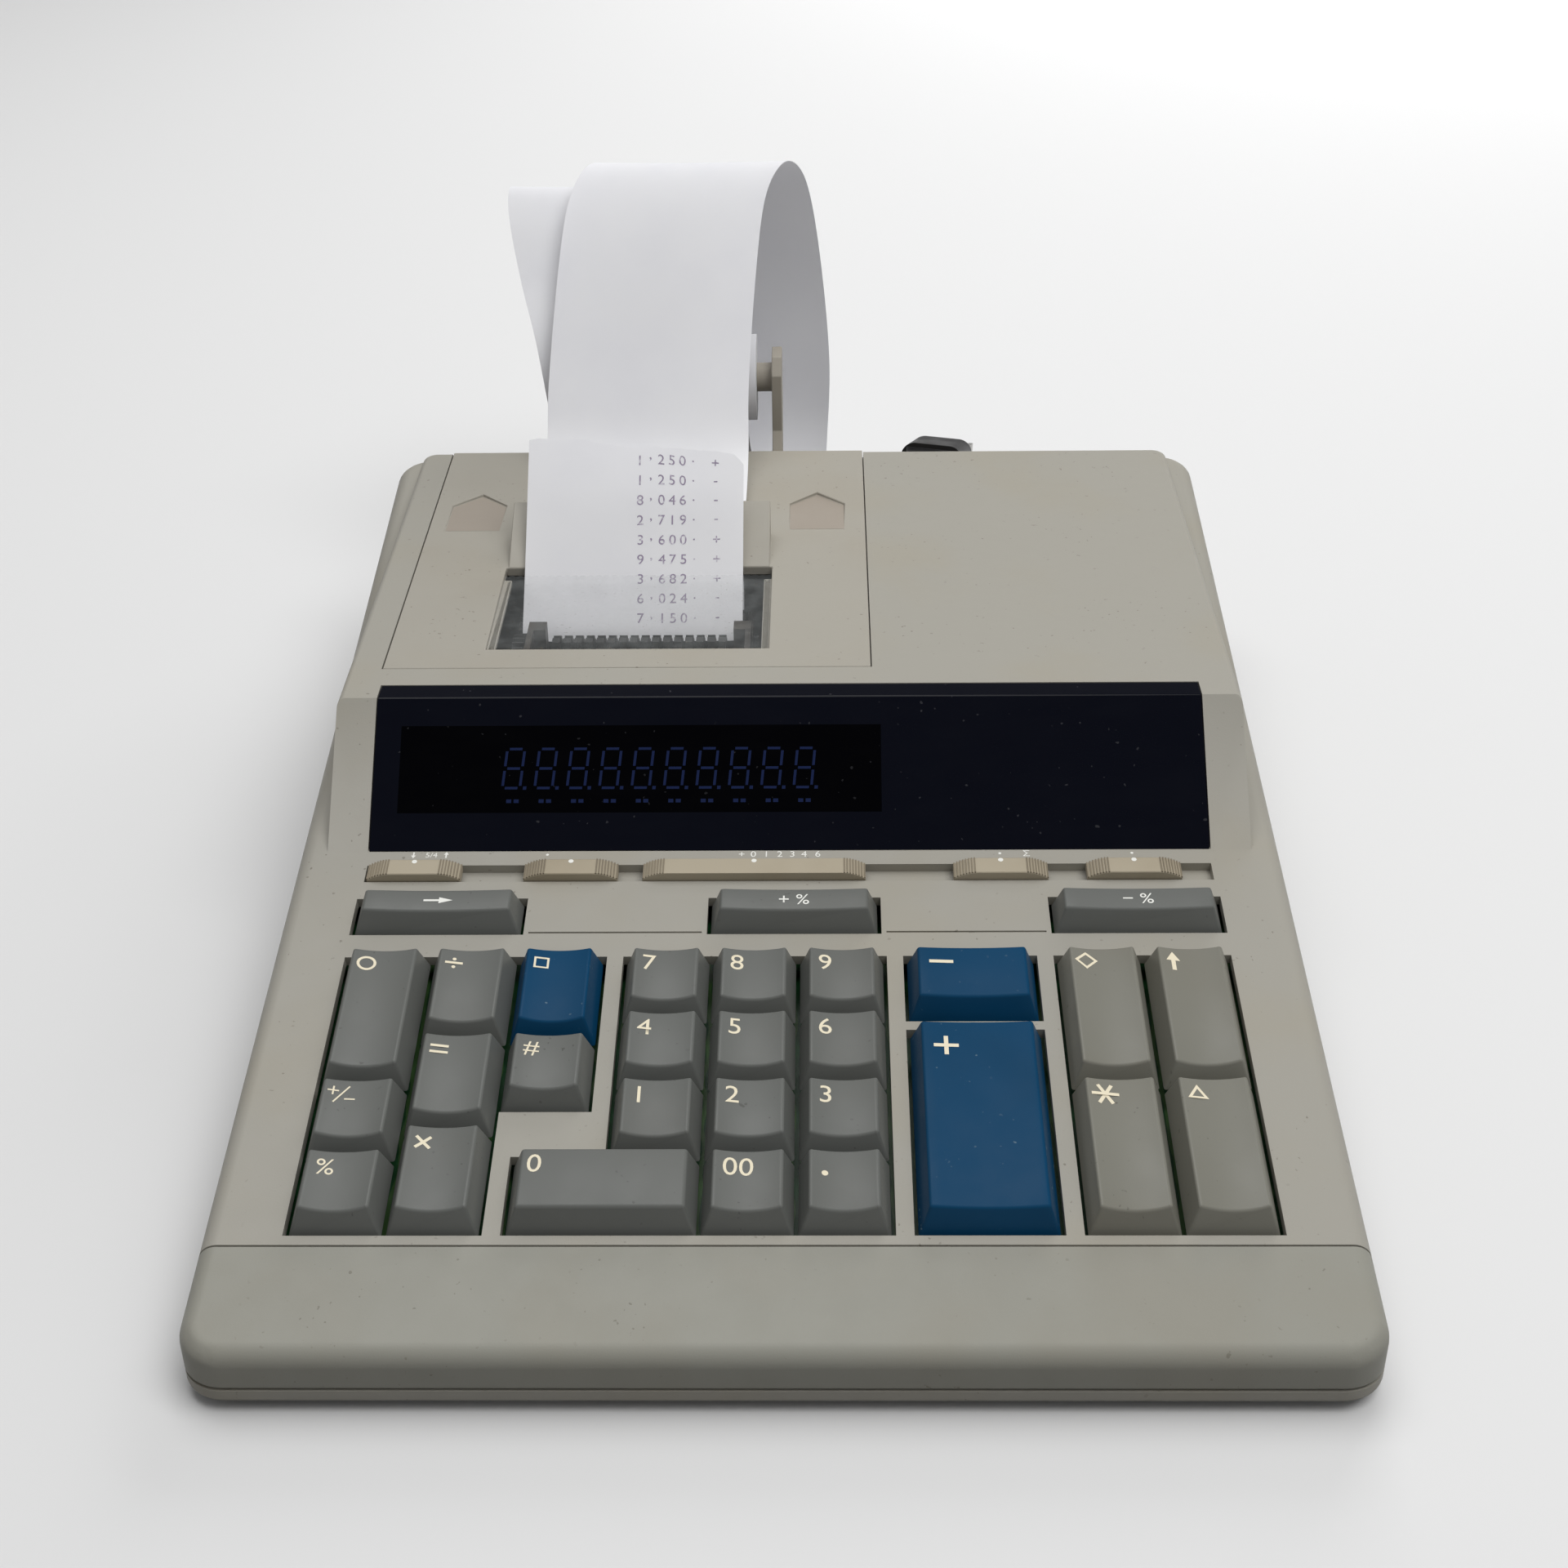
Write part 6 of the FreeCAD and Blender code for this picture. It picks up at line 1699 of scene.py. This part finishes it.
@dataclass
class CoilTie:
    """Strap that holds the put-away turns of the mains lead together.

    Attributes:
        lead: Lead that it holds.
        turn: Place of the strap round the coil, as a share of a turn.
        width: Width of the strap, in millimetres.
        thick: Thickness of the strap.
        under: Thickness of the strap where it passes under the turns.
        slack: Distance of the strap from the turns.
        corners: Points round the strap.
        buckle: Size of the buckle away from the coil's middle, along the coil and upwards.
        buckle_back: Distance of the buckle from the strap's highest point, towards the coil's middle.
        buckle_rise: Height of the buckle's middle over the strap.
        buckle_rounding: Width of the buckle's rounded edges.
    """

    lead: MainsLead
    turn: float = 0.25
    width: float = 5.0
    thick: float = 0.7
    under: float = 0.04
    slack: float = 0.12
    corners: int = 64
    buckle: tuple[float, float, float] = (6.5, 7.0, 2.4)
    buckle_back: float = 8.0
    buckle_rise: float = 0.6
    buckle_rounding: float = 0.7

    def sections(self) -> list[Vector]:
        """Cuts through the coil at the strap.

        Returns:
            Middle of every turn there, as (distance from the coil's middle, height) in millimetres.
        """
        middle = machine_point(*self.lead.middle, 0)
        found = []
        for turns in range(math.ceil(self.lead.turns - self.turn)):
            away = self.lead.coil_point(turns + self.turn) - middle
            found.append(Vector((away.to_2d().length, away.z)) / MM)
        return found

    def loop(self, stand_off: float, floor: float) -> list[Vector]:
        """Draws a line tightly round the turns.

        Args:
            stand_off: Distance of the line from the turns, in millimetres.
            floor: Height that the line keeps above.

        Returns:
            Points of the line, as (distance from the coil's middle, height).
        """
        line = []
        for index in range(self.corners):
            angle = 2 * math.pi * index / self.corners
            way = Vector((math.cos(angle), math.sin(angle)))
            spot = max(self.sections(), key=way.dot) + way * (self.lead.diameter / 2 + stand_off)
            line.append(Vector((spot.x, max(spot.y, floor))))
        return line

    def build(self) -> bpy.types.Object:
        """Builds the strap and its buckle.

        Returns:
            The tie.
        """
        angle = 2 * math.pi * self.turn
        away = Vector((math.cos(angle), math.sin(angle), 0))
        side = Vector((-away.y, away.x, 0))
        middle = machine_point(*self.lead.middle, 0)
        strap = bmesh.new()
        rings = []
        for stand_off, floor in ((self.slack, self.under), (self.thick, 0.0)):
            for edge in (-0.5, 0.5):
                shift = side * (self.width * edge)
                rings.append([
                    strap.verts.new(middle + (away * spot.x + Vector((0, 0, spot.y)) + shift) * MM)
                    for spot in self.loop(stand_off, floor)
                ])
        inner_near, inner_far, outer_near, outer_far = rings
        around = [inner_near, inner_far, outer_far, outer_near, inner_near]
        for index in range(self.corners):
            after = (index + 1) % self.corners
            for a, b in zip(around, around[1:]):
                strap.faces.new((a[index], a[after], b[after], b[index]))
        top = max(self.loop(self.thick, 0.0), key=lambda spot: spot.y)
        place = middle + (away * (top.x - self.buckle_back) + Vector((0, 0, top.y + self.buckle_rise))) * MM
        deep, wide, high = self.buckle
        axes = Matrix((away * deep, side * wide, Vector((0, 0, high)))).transposed() * MM
        made = bmesh.ops.create_cube(strap, size=1.0, matrix=Matrix.Translation(place) @ axes.to_4x4())
        edges = {edge for vert in made["verts"] for edge in vert.link_edges}
        bmesh.ops.bevel(
            strap, geom=list(edges), offset=self.buckle_rounding * MM, segments=3, profile=0.5, affect="EDGES",
        )
        bmesh.ops.recalc_face_normals(strap, faces=strap.faces)
        return link("coil_tie", smooth(mesh_of("coil_tie", strap)), MACHINE, Finish.TIE)


@dataclass
class Moulding:
    """A CAD piece shown with its sharp edges eased and its curves shaded smooth.

    Attributes:
        node: CAD node that it stands for.
        finish: Finish of the piece.
        edge: Width of the eased edges in millimetres, or nought for none.
        split: Whether its flat faces are cut into triangles first, as a face with many openings needs.
        sharp: Angle past which an edge is eased, in radians.
    """

    node: str
    finish: Finish
    edge: float = 0.25
    split: bool = False
    sharp: float = math.radians(40)

    def build(self) -> bpy.types.Object:
        """Builds the piece from a merged copy of its CAD mesh.

        Returns:
            The piece.
        """
        shape = merged_copy(self.node)
        if self.split:
            bmesh.ops.triangulate(shape, faces=[face for face in shape.faces if len(face.verts) > 4])
        name = self.node + "_moulding"
        holder = into_scene(name, smooth(mesh_of(name, shape)))
        if self.edge:
            ease_edges = holder.modifiers.new("eased edges", "BEVEL")
            ease_edges.width = self.edge * MM
            ease_edges.segments = 2
            ease_edges.limit_method = "ANGLE"
            ease_edges.angle_limit = self.sharp
        even = holder.modifiers.new("even shading", "WEIGHTED_NORMAL")
        even.keep_sharp = True
        body = body_of(frame["nodes"][self.node])[0]
        piece = link(name, plain_mesh(holder), body, self.finish)
        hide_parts(self.node)
        return piece


WEB = PaperStrip(
    "paper_web",
    [
        (206.2, 46.6, PAPER_X), (211, 56.5, PAPER_X), (226, 63.2, PAPER_X), (ROLL_Y - 58, 63.0, PAPER_X),
        (ROLL_Y - 39, ROLL_Z - 5.5, PAPER_X), (ROLL_Y - 24, ROLL_Z + 8.5, PAPER_X),
        (ROLL_Y - 1, ROLL_Z + 33, PAPER_X + 2), (ROLL_Y + 17, ROLL_Z + 48.5, PAPER_X + 4.6),
        (ROLL_Y + 31, ROLL_Z + 54, PAPER_X + 9.5), (ROLL_Y + 42, ROLL_Z + 49, PAPER_X + 14.5),
        (ROLL_Y + 51, ROLL_Z + 35, PAPER_X + 18), (ROLL_Y + 60, ROLL_Z + 8, PAPER_X + 21.2),
        (ROLL_Y + 62.5, ROLL_Z - 20, PAPER_X + 23.2), (ROLL_Y + 61.5, ROLL_Z - 42, PAPER_X + 22.6),
        (ROLL_Y + 55, ROLL_Z - 53, PAPER_X + 21), (ROLL_Y + 44, ROLL_Z - 51, PAPER_X + 14),
        (ROLL_Y + 26, ROLL_Z - 40, PAPER_X + 5),
        (ROLL_Y + 8, ROLL_Z - 30, PAPER_X), (ROLL_Y - 6, ROLL_Z - 23.5, PAPER_X),
        (ROLL_Y - 14.5, ROLL_Z - 13.5, PAPER_X - 0.5), (ROLL_Y - 16, ROLL_Z + 1, PAPER_X - 2),
        (ROLL_Y - 8.5, ROLL_Z + 15, PAPER_X - 5), (ROLL_Y + 6, ROLL_Z + 28.5, PAPER_X - 10),
        (ROLL_Y + 21, ROLL_Z + 42, PAPER_X - 14), (ROLL_Y + 33, ROLL_Z + 47, PAPER_X - 14.5),
        (ROLL_Y + 44, ROLL_Z + 38, PAPER_X - 12), (ROLL_Y + 51.5, ROLL_Z + 20, PAPER_X - 8),
        (ROLL_Y + 46.5, ROLL_Z + 1, PAPER_X - 4), (ROLL_Y + 31, ROLL_Z - 12.5, PAPER_X - 1),
        (ROLL_Y + 13, ROLL_Z - 14.2, PAPER_X),
        (ROLL_Y, ROLL_Z - 13.0, PAPER_X),
    ],
    bend=((287.0, 70.0), (240.0, 70.0)), held="hung", rests_on=["paper_roll", "printer_cover"], cup=0.3,
)
TAPE = PaperStrip(
    "printed_tape",
    [
        (190.4, 45.9, PAPER_X), (194.0, 50.2, PAPER_X), (206.4, 60.7, PAPER_X), (218.0, 71.5, PAPER_X),
        (229.5, 82.3, PAPER_X),
    ],
    bend=((192.0, 47.0), (192.0, 56.5)), held="hung", rests_on=["printer_cover"], cup=0.3,
    torn=(
        (-1.0, -2.8), (-0.94, -3.3), (-0.45, -3.0), (-0.4, -2.2), (-0.1, -0.8), (0.08, -0.4), (0.13, -1.0),
        (0.8, 0.9), (0.92, 1.6), (1.0, 4.6),
    ),
)


@dataclass
class TapePrint:
    """Lines of figures on the tape, in the faint ink of a worn ink roller.

    Attributes:
        tape: Paper that it is on.
        lines: Figures and sign of each line, from the torn end down.
        first: Distance of the first line from the torn end, in millimetres.
        spacing: Distance between lines.
        pitch: Distance between figures.
        left: First figure, from the middle of the paper.
        sign: Sign, from the middle of the paper.
        height: Height of a figure.
        drift: How far each line stands to the right of the one above.
        lift: Distance of the print over the paper's face.
    """

    tape: PaperStrip
    lines: Sequence[tuple[str, str]] = (
        ("1,250.", "+"), ("1,250.", "-"), ("8,046.", "-"), ("2,719.", "-"), ("3,600.", "+"),
        ("9,475.", "+"), ("3,682.", "+"), ("6,024.", "-"), ("7,150.", "-"),
    )
    first: float = 3.4
    spacing: float = 5.5
    pitch: float = 2.82
    left: float = 1.0
    sign: float = 21.0
    height: float = 3.9
    drift: float = 0.12
    lift: float = 0.04

    def build(self) -> bpy.types.Object:
        """Prints the lines.

        Returns:
            The print.
        """
        ink = Decal("tape_print", None, Finish.PRINT)
        for row, (figures, sign) in enumerate(self.lines):
            below = self.first + self.spacing * row
            places = [self.left + self.pitch * column for column in range(len(figures))]
            for figure, place in [*zip(figures, places), (sign, self.sign)]:
                ink.lay(Glyphs.figures(figure), self._spot(place + self.drift * row, below))
        return ink.build()

    def _spot(self, place: float, below: float) -> Callable[[float, float], Vector]:
        """Gives the function that lays a figure at a place on the tape."""
        lift = self.tape.thick / 2 + self.lift
        return lambda x, y: self.tape.spot(place + x * self.height, below - y * self.height, lift)


NODE_FINISHES = {
    Finish.TUBE: ("display_tube",),
    Finish.BOARD: ("keyboard_board",),
    Finish.BLACK: ("key_switches", "print_wheels"),
    Finish.CORE: ("transformer",),
    Finish.DARK_STEEL: ("printer_frame", "printer_motor"),
    Finish.BRASS: ("motor_pinion",),
    Finish.RUBBER: ("platen_roller", "rubber_feet", "strain_relief"),
    Finish.SPONGE: ("ink_roller",),
    Finish.STEEL: ("case_screws",),
}
MOULDINGS = [
    Moulding("upper_case", Finish.CASE, split=True),
    Moulding("lower_case", Finish.CASE),
    # The palm rest's darker finish is painted shade
    Moulding("palm_rest", Finish.PALM),
    Moulding("printer_cover", Finish.COVER),
    Moulding("paper_arm", Finish.ARM),
    Moulding("display_lens", Finish.LENS),
    Moulding("paper_roll", Finish.PAPER, edge=0.0),
    Moulding("tear_window", Finish.WINDOW, edge=0.3),
    *[Moulding(selector.node, Finish.KNOB) for selector in SELECTORS],
]


def dress_nodes() -> None:
    """Gives every CAD node that shows its finish."""
    for finish, names in NODE_FINISHES.items():
        for name in names:
            node = frame["nodes"][name]
            node.data.materials.clear()
            node.data.materials.append(finish.made)
            LOG.info("%s: %s", name, finish.value.name)


@dataclass(frozen=True)
class Lamp:
    """Soft square lamp over the machine.

    Attributes:
        name: Name of the lamp.
        place: Its place in the frame's metres.
        width: Length of its sides, in metres.
        power: Its power, in watts.
        mirrored: Whether it shows in polished faces.
    """

    name: str
    place: tuple[float, float, float]
    width: float
    power: float
    mirrored: bool = False

    def hang(self, target: Vector) -> None:
        """Hangs the lamp.

        Args:
            target: Point that it shines at.
        """
        data = bpy.data.lights.new(self.name, "AREA")
        data.size = self.width
        data.energy = self.power
        lamp = into_scene(self.name, data)
        lamp.location = self.place
        lamp.rotation_euler = (target - Vector(self.place)).to_track_quat("-Z", "Y").to_euler()
        lamp.visible_glossy = self.mirrored


LAMPS = [
    Lamp("key lamp", (0.6, -0.45, 1.6), width=1.1, power=15.5),
    Lamp("top lamp", (-0.2, 0.4, 1.6), width=1.1, power=9.5, mirrored=True),
    Lamp("back lamp", (0.5, 1.35, 0.66), width=0.9, power=12.0),
]
LAMP_TARGET = Vector((0.0, 0.0, 0.02))

# Colour of the floor as it is seen, and the darker one that it throws back at the machine
FLOOR_SEEN = srgb(224, 224, 224)
FLOOR_BOUNCE = srgb(90, 90, 90)


@dataclass
class Studio:
    """Camera, floor and soft light.

    Attributes:
        eye: Place of the camera in the machine's millimetres.
        down: Angle that it looks down by, in degrees.
        yaw: Angle that it looks to the left by, in degrees.
        roll: Angle that it leans by, in degrees.
        focus: Focal length, in pixels of the frame.
        frame_width: Width of the frame, in pixels.
        sensor: Width of the sensor, in millimetres.
        nearest: Distance of the nearest thing that shows, in metres.
        half_floor: Half the width of the floor, in metres.
        near_edge: Near edge of the floor.
        bend: Place where the floor begins to rise, on a radius of a metre.
        backdrop: Height of the backdrop.
        bend_steps: Faces of the rising bend.
        surround: Strength of the even surround.
    """

    eye: tuple[float, float, float] = (8.27, -325.34, 326.85)
    down: float = 32.2
    yaw: float = 1.18
    roll: float = -0.85
    focus: float = 2773.8
    frame_width: float = 1920.0
    sensor: float = 36.0
    nearest: float = 0.02
    half_floor: float = 3.0
    near_edge: float = -3.0
    bend: float = 1.6
    backdrop: float = 2.4
    bend_steps: int = 16
    surround: float = 0.25

    def set_camera(self) -> None:
        """Places the camera where the photograph was taken from."""
        data = bpy.data.cameras.new("camera")
        data.sensor_width = self.sensor
        data.lens = self.focus / self.frame_width * self.sensor
        data.clip_start = self.nearest
        camera = into_scene("camera", data)
        turns = ((self.yaw, "Z"), (90 - self.down, "X"), (self.roll, "Z"))
        aim = Matrix.Identity(3)
        for angle, axis in turns:
            aim = aim @ Matrix.Rotation(math.radians(angle), 3, axis)
        camera.matrix_world = Matrix.Translation(machine_point(*self.eye)) @ aim.to_4x4()
        bpy.context.scene.camera = camera

    def set_floor(self) -> None:
        """Lays a pale floor whose far end rises into a backdrop."""
        turns = [math.pi / 2 * index / self.bend_steps for index in range(self.bend_steps + 1)]
        rising = [(self.bend + math.sin(turn), 1 - math.cos(turn)) for turn in turns]
        profile = [(self.near_edge, 0.0), *rising, (self.bend + 1, self.backdrop)]
        mesh = bpy.data.meshes.new("floor")
        sides = [[(x, y, z) for y, z in profile] for x in (-self.half_floor, self.half_floor)]
        count = len(profile)
        faces = [(i, i + count, i + count + 1, i + 1) for i in range(count - 1)]
        mesh.from_pydata(sides[0] + sides[1], [], faces)
        smooth(mesh, angle=60)
        floor = into_scene("floor", mesh)
        mesh.materials.append(self._floor_material())
        floor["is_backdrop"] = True

    @staticmethod
    def _floor_material() -> bpy.types.Material:
        """Builds a pale matt sweep that shows its own colour to the camera and keeps the shadow.

        Returns:
            The finished material.
        """
        bench = Surface("studio sweep")
        seen = bench.add("ShaderNodeLightPath", {}, {}, "Is Camera Ray")
        mirrored = bench.add("ShaderNodeLightPath", {}, {}, "Is Glossy Ray")
        colour = bench.mix(seen + mirrored, FLOOR_BOUNCE, FLOOR_SEEN)
        return bench.finish(Base_Color=colour, Roughness=0.9)

    def set_light(self) -> None:
        """Hangs three soft lamps, of which the top one shows in polished faces, and an even surround."""
        for lamp in LAMPS:
            lamp.hang(LAMP_TARGET)
        world = bpy.data.worlds.new("surround")
        world.use_nodes = True
        surround = world.node_tree.nodes["Background"]
        surround.inputs["Color"].default_value = (1.0, 1.0, 1.0, 1.0)
        surround.inputs["Strength"].default_value = self.surround
        bpy.context.scene.world = world
        bpy.context.scene.view_settings.view_transform = "Standard"


def corners(bounds: tuple[Vector, Vector]) -> list[list[float]]:
    """Gives a box's two corners as plain lists."""
    return [[float(value) for value in corner] for corner in bounds]


def main() -> None:
    """Builds every piece."""
    logging.basicConfig(level=logging.INFO, format="%(message)s")
    cad_box = corners(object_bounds())
    studio = Studio()
    studio.set_camera()
    lead = MainsLead()
    lead.build()
    CoilTie(lead).build()
    dress_nodes()
    WEB.build()
    TAPE.build(TapePrint(TAPE).build())
    for piece in (*MOULDINGS, *KEYCAPS, *SELECTORS, DeckMarks(), Display(), FingerPads()):
        piece.build()
    studio.set_floor()
    studio.set_light()
    {"cad": cad_box, "visual": corners(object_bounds())}


if __name__ == "__main__":
    main()
